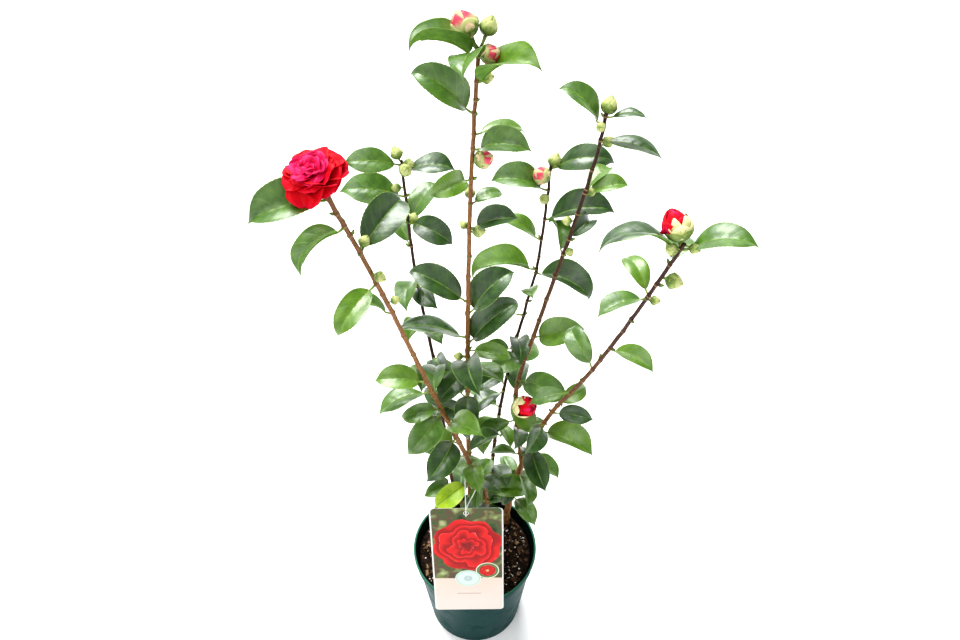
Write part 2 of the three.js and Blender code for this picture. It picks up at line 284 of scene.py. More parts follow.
class Finish:
    """One material, its Principled shader and the nodes that feed it."""

    def __init__(self, name, roughness, **constant):
        self.material = bpy.data.materials.new(name)
        self.material.use_nodes = True
        self.tree = self.material.node_tree
        self.shader = self.tree.nodes["Principled BSDF"]
        self.set("Roughness", roughness)
        for socket, value in constant.items():
            self.set(socket.replace("_", " "), value)

    def put(self, socket, value):
        """Links a field to a socket, or types a constant into it."""
        if isinstance(value, Field):
            self.tree.links.new(value.socket, socket)
        elif socket.type == "RGBA":
            socket.default_value = (*value, 1.0)
        else:
            socket.default_value = value

    def set(self, socket, value):
        self.put(self.shader.inputs[socket], value)

    def node(self, kind, settings=None, inputs=None, out=0):
        """Makes a node: its settings first, then the values or links of its sockets."""
        made = self.tree.nodes.new(kind)
        for name, value in (settings or {}).items():
            if name == "stops":
                ramp = made.color_ramp
                while len(ramp.elements) < len(value):
                    ramp.elements.new(1.0)
                for element, (at, color) in zip(ramp.elements, value):
                    element.position, element.color = at, (*color, 1.0)
            else:
                setattr(made, name, value)
        for socket, value in (inputs or {}).items():
            self.put(made.inputs[socket], value)
        return Field(self, made.outputs[out])

    def place(self, kind="Object"):
        """Where the point is, in metres in the plant's own frame."""
        return self.node("ShaderNodeTexCoord", out=kind)

    def surface(self):
        """The two numbers laid along and across each small surface."""
        flat = self.node("ShaderNodeUVMap", {"uv_map": "Surface"})
        return [self.node("ShaderNodeSeparateXYZ", inputs={0: flat}, out=axis) for axis in (0, 1)]

    def noise(self, scale, detail=3.0, rough=0.55, where=None):
        where = where or self.place()
        inputs = {"Vector": where, "Scale": scale, "Detail": detail, "Roughness": rough}
        return self.node("ShaderNodeTexNoise", inputs=inputs)

    def blend(self, factor, first, second):
        """Mixes two colours; in a Mix node these sockets are the colour ones."""
        settings = {"data_type": "RGBA", "clamp_factor": True}
        return self.node("ShaderNodeMix", settings, {0: factor, 6: first, 7: second}, out=2)

    def span(self, value, low, high):
        """The value's share of the way from low to high, kept between 0 and 1."""
        inputs = {0: value, 1: low, 2: high, 3: 0.0, 4: 1.0}
        return self.node("ShaderNodeMapRange", {"interpolation_type": "SMOOTHSTEP"}, inputs)

    def bump(self, height, strength, distance):
        inputs = {"Height": height, "Strength": strength, "Distance": distance}
        self.set("Normal", self.node("ShaderNodeBump", inputs=inputs))


# %% [markdown]
# ## The camera and the light
#
# The plant is seen from the front and from above, at about 45 degrees, so one looks down
# into the pot and still sees the flowers from the side. The light is that of a bright day of
# thin cloud. A wide soft sun high behind the plant lays the pale sheen on the upper sides of
# the leaves, and a weaker and wider one fills in from the front. The sky is pale near the
# horizon and dimmer overhead, so that it doesn't wash the glossy leaves out.

# %% Camera, floor and lamps
EYE = (0.008, -0.700, 1.387)
LOOK_DOWN = 45.5
LENS = 32.74

eye = bpy.data.cameras.new("eye")
eye.lens = LENS
camera = bpy.data.objects.new("eye", eye)
camera.location = EYE
camera.rotation_euler = (math.radians(90 - LOOK_DOWN), 0, 0)
bpy.context.scene.collection.objects.link(camera)
bpy.context.scene.camera = camera


def sun(name, heading, rise, strength, softness):
    """A soft sun that shines from a heading and a rise; softness is its width in degrees."""
    light = bpy.data.lights.new(name, "SUN")
    light.energy, light.angle = strength, math.radians(softness)
    made = bpy.data.objects.new(name, light)
    made.rotation_euler = Vector(aim(heading, rise)).to_track_quat("Z", "Y").to_euler()
    bpy.context.scene.collection.objects.link(made)


sun("high_back", 112, 58, 5.3, 40)
sun("high_front", 245, 58, 1.6, 50)

# Each shade of the sky, with how high up it starts: 0 is straight down and 1 straight up.
SKY_SHADES = [(0.30, (0.90, 0.91, 0.92)), (0.62, (0.14, 0.15, 0.155))]

world = bpy.data.worlds.new("overcast")
world.use_nodes = True
sky = world.node_tree
way = sky.nodes.new("ShaderNodeTexCoord")
height = sky.nodes.new("ShaderNodeSeparateXYZ")
shade = sky.nodes.new("ShaderNodeValToRGB")
for element, (position, color) in zip(shade.color_ramp.elements, SKY_SHADES):
    element.position, element.color = position, (*color, 1.0)
sky.links.new(way.outputs["Generated"], height.inputs[0])
sky.links.new(height.outputs[2], shade.inputs[0])
sky.links.new(shade.outputs[0], sky.nodes["Background"].inputs["Color"])
bpy.context.scene.world = world
bpy.context.scene.view_settings.view_transform = "Standard"
bpy.context.scene.view_settings.look = "Medium High Contrast"

FLOOR_REACH = 12.0
FLOOR_CORNERS = [(-1, -1), (1, -1), (1, 1), (-1, 1)]
floor_finish = Finish("pale_floor", roughness=0.9)
floor_finish.set("Base Color", floor_finish.blend(floor_finish.noise(3.0), (0.94,) * 3, (0.92,) * 3))
ground = bpy.data.meshes.new("floor")
ground.from_pydata([(x * FLOOR_REACH, y * FLOOR_REACH, 0) for x, y in FLOOR_CORNERS], [], [(0, 1, 2, 3)])
ground.materials.append(floor_finish.material)
floor = bpy.data.objects.new("floor", ground)
bpy.context.scene.collection.objects.link(floor)
print("camera looks down", LOOK_DOWN, "degrees through a", LENS, "mm lens")

# %% [markdown]
# ## Reading the limbs
#
# Every trunk and stem is a six-sided rod whose corners lie in rings. A whole ring gives a
# point of the limb's middle line and its thickness there. A stem's lowest rings are cut away
# where it leaves its trunk, so they are skipped and the stem starts inside the top of the
# nearest trunk. The line between the rings is a smooth spline, walked in 1 mm steps.

# %% Rails
RING_GAP = 2.5 * MM
RING_SIDES = 6
RING_UNEVEN = 0.15
STEP = 1.0 * MM
STEPS_INSIDE_TRUNK = 6


def rings_of(node):
    """Middle and radius of every whole ring of a limb's solid, lowest first."""
    points = corners(node)
    points = points[np.argsort(points[:, 2])]
    cuts = np.where(np.diff(points[:, 2]) > RING_GAP)[0] + 1
    found = []
    for ring in np.split(points, cuts):
        # One stray corner more is allowed: only the six farthest from the middle are measured.
        away = np.sort(np.linalg.norm(ring - ring.mean(0), axis=1))[-RING_SIDES:]
        if len(ring) - RING_SIDES in (0, 1) and away.std() < RING_UNEVEN * away.mean():
            found.append((ring.mean(0), away.mean()))
    return found


class Rail:
    """A limb's middle line in even steps, with its radius at each step."""

    def __init__(self, node, start=None):
        found = rings_of(node)
        middles = np.array([middle for middle, _ in found])
        radii = np.array([radius for _, radius in found])
        if start is not None:
            keep = middles[:, 2] > start[2] + 20 * MM
            middles = np.vstack([start, middles[keep]])
            radii = np.concatenate([[radii[keep][0] * 1.03], radii[keep]])
        before, after = 2 * middles[0] - middles[1], 2 * middles[-1] - middles[-2]
        held = np.vstack([before, middles, after])
        walk = []
        for i in range(len(middles) - 1):
            a, b, c, d = held[i:i + 4]
            t = np.linspace(0, 1, 60, endpoint=False)[:, None]
            walk.append(0.5 * (2 * b + (c - a) * t + (2 * a - 5 * b + 4 * c - d) * t ** 2
                               + (3 * b - a - 3 * c + d) * t ** 3))
        walk = np.vstack([*walk, middles[-1:]])
        run = np.concatenate([[0], np.cumsum(np.linalg.norm(np.diff(walk, axis=0), axis=1))])
        self.run = np.arange(0, run[-1], STEP)
        self.line = np.stack([np.interp(self.run, run, walk[:, k]) for k in range(3)], 1)
        held_run = np.interp(middles[:, 2], walk[:, 2], run)
        self.radius = np.interp(self.run, held_run, radii)
        self.along = unit(np.gradient(self.line, axis=0))
        self.joints = []

    def at_height(self, height):
        return int(np.abs(self.line[:, 2] - height).argmin())

    def nearest(self, points):
        """How far each point is from the line."""
        return np.linalg.norm(points[:, None] - self.line[None], axis=2).min(1)


trunk_nodes = sorted(name for name in nodes if name.startswith("trunk_"))
stem_nodes = sorted(name for name in nodes if name.startswith("stem_"))
rails = {name: Rail(name) for name in trunk_nodes}


def trunk_under(name):
    """The trunk whose top is nearest to the foot of a stem."""
    foot = rings_of(name)[0][0]
    gaps = {trunk: rails[trunk].line[-1] - foot for trunk in trunk_nodes}
    return min(gaps, key=lambda trunk: np.linalg.norm(gaps[trunk][:2]) + abs(gaps[trunk][2]))


for name in stem_nodes:
    rails[name] = Rail(name, start=rails[trunk_under(name)].line[-STEPS_INSIDE_TRUNK])
for name, rail in rails.items():
    thick, thin = rail.radius[0] / MM, rail.radius[-1] / MM
    print(f"{name}: {len(rail.line)} mm long, radius {thick:.1f} to {thin:.1f} mm")

# %% [markdown]
# ## Reading the sprays
#
# Every lump of foliage is a handful of lobes, and each lobe stands for one leaf. The
# farthest corner of a lump from its limb is a leaf's tip. The corners near that tip give the
# lobe's own direction, once its arch is taken out, and the limb's point nearest to that
# direction is the joint the leaf grows from. The lobe is then set aside and the next
# farthest corner is the next tip. Three lumps also hold a crest above their limb's tip,
# which is the seat of a flower or of a large bud.

# %% Leaf seats
LOBE_ARCH = 0.1
LOBE_CORE, LOBE_WIDTH = 0.25, 0.34
NEAR_TIP, WHOLE_LOBE = (0.03, 0.40), (-0.15, 0.93)
SLEEVE_REACH = 6 * MM
SHORTEST_LEAF = 28 * MM
CREST_CLEAR = 11 * MM
CRESTED = ("foliage_leader_1", "foliage_left_1", "foliage_far_right_1")
FAR = 9.0


def between(values, span):
    """True for each value inside a span."""
    return (values > span[0]) & (values < span[1])


def limb_of(mass):
    """The limb that a mass named foliage_LIMB_NUMBER grows on."""
    name = mass[len("foliage_"):].rsplit("_", 1)[0]
    return name if name in rails else "stem_" + name


def along_lobe(points, tip, joint):
    """Each point's share of the way from a lobe's tip to its joint, and how far off it is."""
    length = np.linalg.norm(joint - tip)
    axis = (joint - tip) / length
    share = (points - tip) @ axis / length
    off = np.linalg.norm(points - tip - np.outer(share * length, axis), axis=1)
    return share, off, length, axis


def joint_ahead(rail, inside, tip, ray):
    """The step of a limb that a ray from a lobe's tip passes nearest to."""
    line = rail.line - tip
    ahead = line @ ray
    miss = np.linalg.norm(line - np.outer(ahead, ray), axis=1)
    return int(np.where((ahead > 0) & inside, miss, FAR).argmin())


def leaf_seats(mass, rail):
    """The (joint step, tip) pairs of a mass's leaves."""
    points = corners(mass)
    if mass in CRESTED:
        points = points[points[:, 2] < rail.line[-1][2] + CREST_CLEAR]
    away = rail.nearest(points)
    outside = away > rail.radius[-1] + SLEEVE_REACH
    points, away = points[outside], away[outside]
    low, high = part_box(mass)
    inside = between(rail.line[:, 2], (low[2] - 2 * MM, high[2] + 2 * MM))
    found = []
    while len(points) and away.max() > SHORTEST_LEAF:
        tip = points[away.argmax()]
        step = int(np.where(inside, np.linalg.norm(rail.line - tip, axis=1), FAR).argmin())
        for _ in range(5):
            run, off, length, axis = along_lobe(points, tip, rail.line[step])
            near = between(run, NEAR_TIP) & (off < LOBE_CORE * length + 4 * MM)
            if near.sum() < 4:
                break
            share = run[near]
            arch = np.outer(4 * share * (1 - share) * LOBE_ARCH * length, unit(UP - axis * axis[2]))
            step = joint_ahead(rail, inside, tip, unit((points[near] - tip - arch).mean(0)))
        found.append((step, tip))
        keep = ~(between(run, WHOLE_LOBE) & (off < LOBE_WIDTH * length + 6 * MM))
        keep[away.argmax()] = False
        points, away = points[keep], away[keep]
    return found


masses = sorted(name for name in nodes if name.startswith("foliage_"))
seats = {mass: leaf_seats(mass, rails[limb_of(mass)]) for mass in masses}
for mass, found in seats.items():
    rails[limb_of(mass)].joints += [step for step, _ in found]
print("leaves seated:", sum(len(found) for found in seats.values()), "in", len(masses), "sprays")

# %% [markdown]
# ## Leaf finishes
#
# A camellia leaf is leathery and glossy: a deep green upper side with paler veins pressed
# into it, a yellowish midrib, a thin pale edge with fine teeth, and a duller, yellower
# underside. The blade's colour has a soft mottle, and the veins are drawn from the numbers laid along and
# across each leaf. Young leaves are lighter, so three of the four tints run from deep to fresh green. The
# fourth, lime, with little gloss, is painted light: the glow of light through one spray of leaves lit from
# behind. Each leaf takes one tint whole.

# %% Leaf materials
VEINS = 6.5
VEIN_SLANT = 0.21


def vein_mask(finish, width):
    """1 on the side veins of a leaf and 0 between them."""
    along, across = finish.surface()
    from_rib = (across - 0.5).apply("ABSOLUTE") * 2
    phase = ((along - from_rib * VEIN_SLANT) * VEINS).apply("FRACT")
    return 1 - finish.span((phase - 0.5).apply("ABSOLUTE"), width * 0.3, width)


def blade_finish(name, dark, light, roughness=0.38, gloss=1.0):
    finish = Finish(name, roughness=roughness, Specular_IOR_Level=0.40,
                    Coat_Weight=gloss, Coat_Roughness=0.40)
    mottle = finish.blend(finish.span(finish.noise(90, 4), 0.3, 0.7), dark, light)
    veins = vein_mask(finish, 0.09)
    pale = tuple(1.3 * c + 0.01 for c in light)
    finish.set("Base Color", finish.blend(veins * 0.30, mottle, pale))
    finish.set("Roughness", finish.noise(300, 2) * 0.16 + (roughness - 0.08))
    finish.bump(finish.noise(650, 3) * 0.5 - veins, 0.35, 0.3 * MM)
    return finish.material


TINTS = {
    "deep": blade_finish("leaf_deep_green", (0.009, 0.041, 0.002), (0.030, 0.088, 0.005)),
    "mid": blade_finish("leaf_mid_green", (0.040, 0.110, 0.005), (0.086, 0.185, 0.016)),
    "fresh": blade_finish("leaf_fresh_green", (0.070, 0.165, 0.004), (0.115, 0.230, 0.010)),
    # The lime tint is painted backlight: the glow of light through one spray lit from behind.
    "lime": blade_finish("leaf_lime_painted_backlight", (0.240, 0.400, 0.006), (0.360, 0.510, 0.015), 0.42, 0.2),
}


def plain_finish(name, dark, light, roughness, scale=220, bump=0.2):
    """A two-tone mottled finish with a fine grain."""
    finish = Finish(name, roughness, Specular_IOR_Level=0.25)
    grain = finish.noise(scale, 4)
    finish.set("Base Color", finish.blend(finish.span(grain, 0.3, 0.7), dark, light))
    finish.set("Roughness", grain * 0.2 + (roughness - 0.1))
    finish.bump(grain, bump, 0.2 * MM)
    return finish.material


leaf_rib = plain_finish("leaf_midrib", (0.10, 0.20, 0.030), (0.20, 0.32, 0.07), 0.45)
leaf_edge = plain_finish("leaf_edge", (0.16, 0.26, 0.05), (0.26, 0.38, 0.10), 0.5)
leaf_under = plain_finish("leaf_underside", (0.060, 0.140, 0.012), (0.110, 0.220, 0.024), 0.55, 160)
stalk_green = plain_finish("leaf_stalk", (0.12, 0.20, 0.03), (0.22, 0.29, 0.06), 0.5)
print("leaf finishes:", list(TINTS))

# %% [markdown]
# ## Growing the leaves
#
# One leaf is a thin shell on a bowed spine. Its outline is widest just below the middle and
# is drawn out to a point, its edge has fine teeth, and its two halves fold up a little from
# the midrib, so one half catches the light and the other does not. The surface sinks along
# the side veins. A stalk leaves the limb, bends into the blade and runs on as a raised rib
# beneath it. The bow, fold, roll and wave of each leaf come from a seeded draw.

# %% Leaf maker
ACROSS = np.array([-1, -0.955, -0.75, -0.5, -0.26, -0.032, 0.032, 0.26, 0.5, 0.75, 0.955, 1])
BLADE, RIB, EDGE, UNDER = 0, 1, 2, 3
STRIPS = np.array([EDGE] + [BLADE] * 4 + [RIB] + [BLADE] * 4 + [EDGE])
LEAF_ROWS = 41
LEAF_THICK = 0.35 * MM
WIDEST_HALF = 20 * MM
LIGHT_SIDE = unit([0.0, -0.22, 1.0])

leaves = {tint: Batch("leaves_" + tint, [finish, leaf_rib, leaf_edge, leaf_under], "foliage")
          for tint, finish in TINTS.items()}
stalks = Batch("leaf_stalks", [stalk_green], "foliage")


def bowed(start, end, up, bow, droop):
    """A bowed spine between two points, with its tangents and normals."""
    t = np.linspace(0, 1, LEAF_ROWS)
    angle = bow * (0.5 - t) - droop * ease(0.72, 1.0, t)
    flat = np.cumsum(np.stack([np.cos(angle), np.sin(angle)], 1), 0)
    flat -= flat[0]
    tilt = math.atan2(flat[-1, 1], flat[-1, 0])
    turn = np.array([[math.cos(tilt), -math.sin(tilt)], [math.sin(tilt), math.cos(tilt)]])
    flat = flat @ turn
    flat *= np.linalg.norm(end - start) / flat[-1, 0]
    chord = unit(end - start)
    spine = start + np.outer(flat[:, 0], chord) + np.outer(flat[:, 1], up)
    along = unit(np.gradient(spine, axis=0))
    side = unit(np.cross(up, chord))
    return t, spine, along, unit(np.cross(along, side)), side


def blade_lift(t, half, rng):
    """How far a blade stands off its spine: the fold, curl, wave and veins of one leaf."""
    away, wide, run = np.abs(ACROSS)[None], half[:, None], t[:, None]
    fold, curl = math.tan(math.radians(rng.uniform(16, 46))), rng.uniform(0.05, 0.35)
    wave, phase = rng.uniform(0.03, 0.12), rng.uniform(0, 6)
    lift = wide * away * fold - wide * away ** 2 * curl
    lift += wide * away ** 2 * wave * np.sin(9.5 * run + phase + 1.4 * (ACROSS[None] > 0))
    lift += wide * away * 0.05 * np.sin(5 * run + 4.5 * ACROSS[None] + 2 * phase)
    vein = (VEINS * (run - VEIN_SLANT * away)) % 1 - 0.5
    lift -= 0.045 * wide * np.exp(-(vein / 0.13) ** 2) * (1 - away ** 4)
    return lift - (away < 0.1) * 0.3 * MM * np.sin(math.pi * run)


def grow_leaf(foot, outward, tip, rng, tint, roll=0.0):
    """One leaf from a point on a limb to its tip. roll turns its blade about its length."""
    chord = tip - foot
    reach = np.linalg.norm(chord)
    stalk = min(7 * MM, 0.12 * reach) * rng.uniform(0.85, 1.2)
    start = foot + unit(0.75 * unit(chord) + 0.25 * outward + 0.32 * UP) * stalk
    chord = unit(tip - start)
    side = np.cross(LIGHT_SIDE, chord)
    side = unit(side) if np.linalg.norm(side) > 0.15 else unit(np.cross(outward, chord))
    up = swing(unit(np.cross(chord, side)), chord, roll + rng.uniform(-28, 28))
    bow = math.radians(rng.uniform(45, 105))
    t, spine, along, normal, side = bowed(start, tip, up, bow, math.radians(rng.uniform(10, 65)))
    length = np.linalg.norm(tip - start)
    width = min(length * rng.uniform(0.25, 0.31), WIDEST_HALF)
    outline = np.sin(math.pi * t ** 0.84) ** (0.78 + 1.2 * ease(0.62, 1.0, t))
    outline *= 1 - 0.2 * ease(0.75, 1.0, t)
    half = np.maximum(outline * width, 0.25 * MM)
    teeth = np.ones((LEAF_ROWS, len(ACROSS)))
    teeth[1:-1:2, [0, -1]] = 0.965
    twist = math.radians(rng.uniform(-22, 22)) * t
    side = side * np.cos(twist)[:, None] + normal * np.sin(twist)[:, None]
    normal = unit(np.cross(along, side))
    lift = blade_lift(t, half, rng)
    skin(leaves[tint], spine, side, normal, half[:, None] * teeth, ACROSS, lift, LEAF_THICK,
         STRIPS, UNDER, EDGE)
    ribbed = slice(2, int(LEAF_ROWS * 0.8), 3)
    rib = spine[ribbed] - normal[ribbed] * (LEAF_THICK + 0.35 * MM)
    root = foot - outward * 1.2 * MM
    bend = root + (start - root) * 0.5 - UP * 0.6 * MM
    path = np.vstack([root, bend, start - normal[0] * 0.5 * MM, rib])
    thick = np.interp(np.linspace(0, 1, len(path)), [0, 0.12, 0.35, 1], [1.5, 1.05, 0.8, 0.3]) * MM
    tube(stalks, path, thick * (0.75 + 0.35 * reach / 0.07), 7)


# %% [markdown]
# Now the rule that grows them. Every seat becomes one leaf. Its tint is drawn from chances that favour
# deep green low on the shrub, and fresher greens towards its top, except in one spray, whose lime tint is
# painted light shining through it from behind.
#
# The bare joints between the seats are found next. Each turns about the stem from the one
# below by roughly 137 degrees, as leaves that take turns round a stem do. Low on the shrub
# most of these joints bear a leaf too, and higher up hardly any, which keeps the crown open.

# %% Grow every spray
# This spray takes the lime tint, painted light shining through it from behind.
BACKLIT_LIME_SPRAY = "foliage_leader_12"
# Chances that a bare joint bears a leaf, below and above a height in metres.
FILL_LOW, FILL_HIGH, FILL_TOP = 0.95, 0.10, 0.60
LEAF_TURN = 137.5
JOINT_GAP = 13
TIP_GAP = 24 * MM
BARE_FOOT = 60 * MM
# Young flowers: limb, height in millimetres, heading, rise, stalk and length, and the side
# from which the pale scales have fallen. No filling leaf may grow close to one.
YOUNG_FLOWERS = [("stem_far_right", 868, 120, 66, 5, 31, 150), ("stem_right", 474, 285, 34, 23, 33, 15)]
FLOWER_ROOM = 46 * MM
# Leaves that turn their blade up beside a flower: spray, number in it, and roll in degrees.
ROLLED = {("foliage_far_right_1", 0): 46, ("foliage_leader_1", 2): 30}
top_height, soil_height = cad_high[2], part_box("soil")[1][2]


def tint_for(height, rng):
    """A tint for a whole leaf, fresher towards the top of the plant."""
    young = (height - soil_height) / (top_height - soil_height)
    chances = [("fresh", 0.10 + 0.18 * young), ("mid", 0.34 + 0.16 * young)]
    draw = rng.random()
    for tint, chance in chances:
        if draw < chance:
            return tint
        draw -= chance
    return "deep"


def limb_point(rail, step, toward):
    """A point on the limb's surface on the side of a target, and the way out there."""
    step = min(step, len(rail.line) - 3)
    axis = rail.along[step]
    out = toward - rail.line[step]
    out = unit(out - axis * (out @ axis))
    return rail.line[step] + out * rail.radius[step] * 0.9, out


rng = random.Random(4177)
tips = []
flowers = [rails[name].line[rails[name].at_height(height * MM)] + aim(heading, rise) * 20 * MM
           for name, height, heading, rise, *_ in YOUNG_FLOWERS]
for mass in masses:
    rail = rails[limb_of(mass)]
    for number, (step, tip) in enumerate(seats[mass]):
        foot, out = limb_point(rail, step, tip)
        tint = "lime" if mass == BACKLIT_LIME_SPRAY else tint_for(tip[2], rng)
        grow_leaf(foot, out, tip, rng, tint, ROLLED.get((mass, number), 0))
        tips.append(tip)

for name, rail in rails.items():
    step = int(rng.uniform(15, 30))
    turn = rng.uniform(0, 360)
    while step < len(rail.line) - 8:
        if all(abs(step - joint) > JOINT_GAP for joint in rail.joints):
            rail.joints.append(step)
            turn += LEAF_TURN + rng.uniform(-20, 20)
            height = rail.line[step][2]
            length = rng.uniform(44, 68) * MM
            tip = rail.line[step] + aim(turn, rng.uniform(-22, 22)) * length
            inside = all(cad_low[k] < tip[k] < cad_high[k] for k in (0, 1))
            lonely = min(np.linalg.norm(tip - other) for other in tips) > TIP_GAP
            middle = (tip + rail.line[step]) / 2
            lonely &= min(np.linalg.norm(middle - flower) for flower in flowers) > FLOWER_ROOM
            chance = FILL_LOW if height < FILL_TOP else FILL_HIGH
            if inside and lonely and height > soil_height + BARE_FOOT and rng.random() < chance:
                foot, out = limb_point(rail, step, tip)
                grow_leaf(foot, out, tip, rng, tint_for(height, rng))
                tips.append(tip)
        step += int(rng.uniform(18, 42))
print("leaves grown:", len(tips))
for tint, batch in leaves.items():
    share = [mass for mass in masses if mass == BACKLIT_LIME_SPRAY] if tint == "lime" else masses
    batch.build(share)
stalks.build()

# %% [markdown]
# ## Bark
#
# The trunks are tan with fine long ridges. Higher up the stems are smooth, and their colour runs from tan
# to a dark plum brown. Where a leaf joins, the stem swells a little and a pale scar rings it, and the stem
# jogs aside, in a seeded direction, by less than a millimetre. All of that is relief in the mesh, with
# only the finest grain left to the finish.

# %% Bark finish
def bark_finish(name, tan_below, plum_above):
    """Bark that turns from tan to plum between two heights."""
    finish = Finish(name, roughness=0.6, Specular_IOR_Level=0.2)
    height = finish.node("ShaderNodeSeparateXYZ", inputs={0: finish.place()}, out=2)
    length, turn = finish.surface()
    lined = finish.node("ShaderNodeCombineXYZ", inputs={0: length * 60, 1: turn * 2.2, 2: height * 9})
    streak = finish.noise(3.0, 5, where=lined)
    blotch = finish.noise(55, 4)
    young = finish.span(height + (blotch - 0.5) * 0.16, tan_below, plum_above)
    tan = finish.blend(finish.span(streak, 0.35, 0.7), (0.120, 0.050, 0.015), (0.34, 0.160, 0.056))
    plum = finish.blend(finish.span(streak, 0.3, 0.75), (0.016, 0.006, 0.004), (0.075, 0.030, 0.018))
    color = finish.blend(young, tan, plum)
    fleck = finish.span(finish.noise(420, 3), 0.62, 0.72)
    finish.set("Base Color", finish.blend(fleck * 0.35, color, (0.36, 0.25, 0.14)))
    finish.set("Roughness", blotch * 0.25 + 0.42)
    finish.bump(streak + finish.noise(900, 3) * 0.4, 0.5, 0.35 * MM)
    return finish.material


# Each bark: the heights in metres between which it turns from tan to plum.
BARKS = {"trunk": (0.30, 1.4), "leader": (0.80, 1.25), "left": (0.70, 1.25),
         "right": (0.38, 0.80), "back": (0.22, 0.42)}
BARK_OF = {"stem_leader": "leader", "stem_left": "left", "stem_right": "right",
           "stem_far_right": "right", "stem_back_left": "back", "stem_back_right": "back"}
barks = {kind: bark_finish(kind + "_bark", *heights) for kind, heights in BARKS.items()}
scar_finish = plain_finish("leaf_scar", (0.13, 0.075, 0.035), (0.30, 0.19, 0.10), 0.7, 500)

# %% Limb meshes
SIDES = 18
EAST = np.array([1.0, 0.0, 0.0])
BARK, SCAR = 0, 1


def relief(rows, turn, along, around, shift=0.0):
    """Noise over a limb's skin: along scales it up the limb, and around scales it round."""
    spots = [[(row * STEP * along, around * math.cos(a), around * math.sin(a) + shift) for a in turn]
             for row in rows]
    return np.array([[noise.noise(Vector(spot)) for spot in ring] for ring in spots])


def limb_mesh(batch, name, rng, flare=False):
    """Adds one limb with its ridges, its swollen joints and its scars."""
    rail = rails[name]
    joints = sorted(set(rail.joints))
    rows = np.arange(len(rail.line))
    line = rail.line.copy()
    turn = full_turn(SIDES)
    swell = np.zeros(len(rows))
    for joint in joints:
        away = (rows - joint) * STEP
        line += np.outer(np.exp(-(away / (7 * MM)) ** 2) * 0.55 * MM, aim(rng.uniform(0, 360), 0))
        swell += np.exp(-(away / (2.6 * MM)) ** 2) * 0.16
        swell += np.exp(-((away - 2 * MM) / (0.7 * MM)) ** 2) * 0.12
    ridge, grain = relief(rows, turn, 22, 3.1, len(name)), relief(rows, turn, 260, 2)
    full = rail.radius[:, None] * (1 + swell[:, None] + 0.11 * ridge + 0.035 * grain)
    if flare:
        low_down = np.exp(-rows[:, None] * STEP / (6 * MM))
        full *= 1 + 0.12 * low_down * (1 + 0.8 * np.cos(3 * turn + 1)[None])
    full[-1] *= 0.6
    tube(batch, line, full, SIDES, BARK, reference=EAST)
    for joint in joints:
        if 8 < joint < len(rows) - 7:
            around = np.linspace(-1, 1, 5)
            middle = line[joint] + rail.along[joint] * 0.4 * MM
            ring = middle + rail.along[joint] * around[:, None] * 0.9 * MM
            thick = rail.radius[joint] * (1.19 + 0.1 * (1 - around ** 2))
            tube(batch, ring, thick, SIDES, SCAR, reference=EAST)


rng = random.Random(90)
trunk_batch = Batch("trunk_bark_mesh", [barks["trunk"], scar_finish], "bark")
for name in trunk_nodes:
    limb_mesh(trunk_batch, name, rng, flare=True)
trunk_batch.build(trunk_nodes)
for name in stem_nodes:
    stem_batch = Batch(name + "_bark", [barks[BARK_OF[name]], scar_finish], "young_bark")
    limb_mesh(stem_batch, name, rng)
    stem_batch.build([name])

# %% [markdown]
# ## Buds
#
# A camellia sets two kinds of bud. Slim pointed leaf buds sit in the angle above many leaf
# stalks. Round flower buds crowd at the tips and sit at some joints, pale yellow-green,
# wrapped in overlapping scales, and the ripest show pink petals at the point. A bud is an
# egg-shaped core under rows of curved scales, each a little proud of the one inside it.

# %% Bud finishes and maker
def scale_finish(name, low, high, turns_at=0.5):
    """A scale or petal whose colour turns from low to high along its length."""
    finish = Finish(name, roughness=0.45, Specular_IOR_Level=0.25)
    along, across = finish.surface()
    ribs = (across * 22 + finish.noise(90, 2) * 2).apply("SINE") * 0.5 + 0.5
    turned = finish.span(along + (finish.noise(160, 3) - 0.5) * 0.5, turns_at - 0.25, turns_at + 0.25)
    color = finish.blend(turned, low, high)
    finish.set("Base Color", finish.blend(ribs * 0.16, color, tuple(0.55 * c for c in high)))
    finish.set("Roughness", ribs * 0.1 + 0.40)
    finish.bump(ribs, 0.2, 0.15 * MM)
    return finish.material


bud_scale = scale_finish("bud_scale", (0.22, 0.30, 0.070), (0.46, 0.49, 0.20))
bud_base = scale_finish("bud_base", (0.085, 0.140, 0.025), (0.21, 0.28, 0.070))
bud_blush = scale_finish("bud_blush", (0.62, 0.52, 0.30), (0.66, 0.070, 0.120), 0.58)
SCALE, BASE, BLUSH = 0, 1, 2
buds = Batch("buds", [bud_scale, bud_base, bud_blush], "foliage")
bud_stalks = Batch("bud_stalks", [stalk_green], "foliage")


def egg(share, width):
    """Radius of an egg-shaped bud at a share of its length."""
    return width * np.sin(math.pi * np.clip(share, 0.02, 0.985) ** 0.85) ** 0.62 * (1 - 0.10 * share)


def square_to(axis):
    """Two directions square to an axis and to each other."""
    first = unit(np.cross(axis, UP if abs(axis[2]) < 0.9 else np.array([1.0, 0.0, 0.0])))
    return first, np.cross(axis, first)


def wrap_scale(batch, line, axis, around, radius, half, thick, finish):
    """One scale along a line, curved round a bud of the given radius."""
    side = np.tile(np.cross(axis, around), (len(line), 1))
    up = unit(np.cross(side, unit(np.gradient(line, axis=0))))
    up *= np.sign((up @ around).mean())
    columns = np.linspace(-1, 1, len(line) - 2)
    fall = -(half[:, None] * columns[None]) ** 2 / (2 * radius[:, None])
    skin(batch, line, side, up, half, columns, fall, thick, np.full(len(line) - 3, finish), finish, finish)


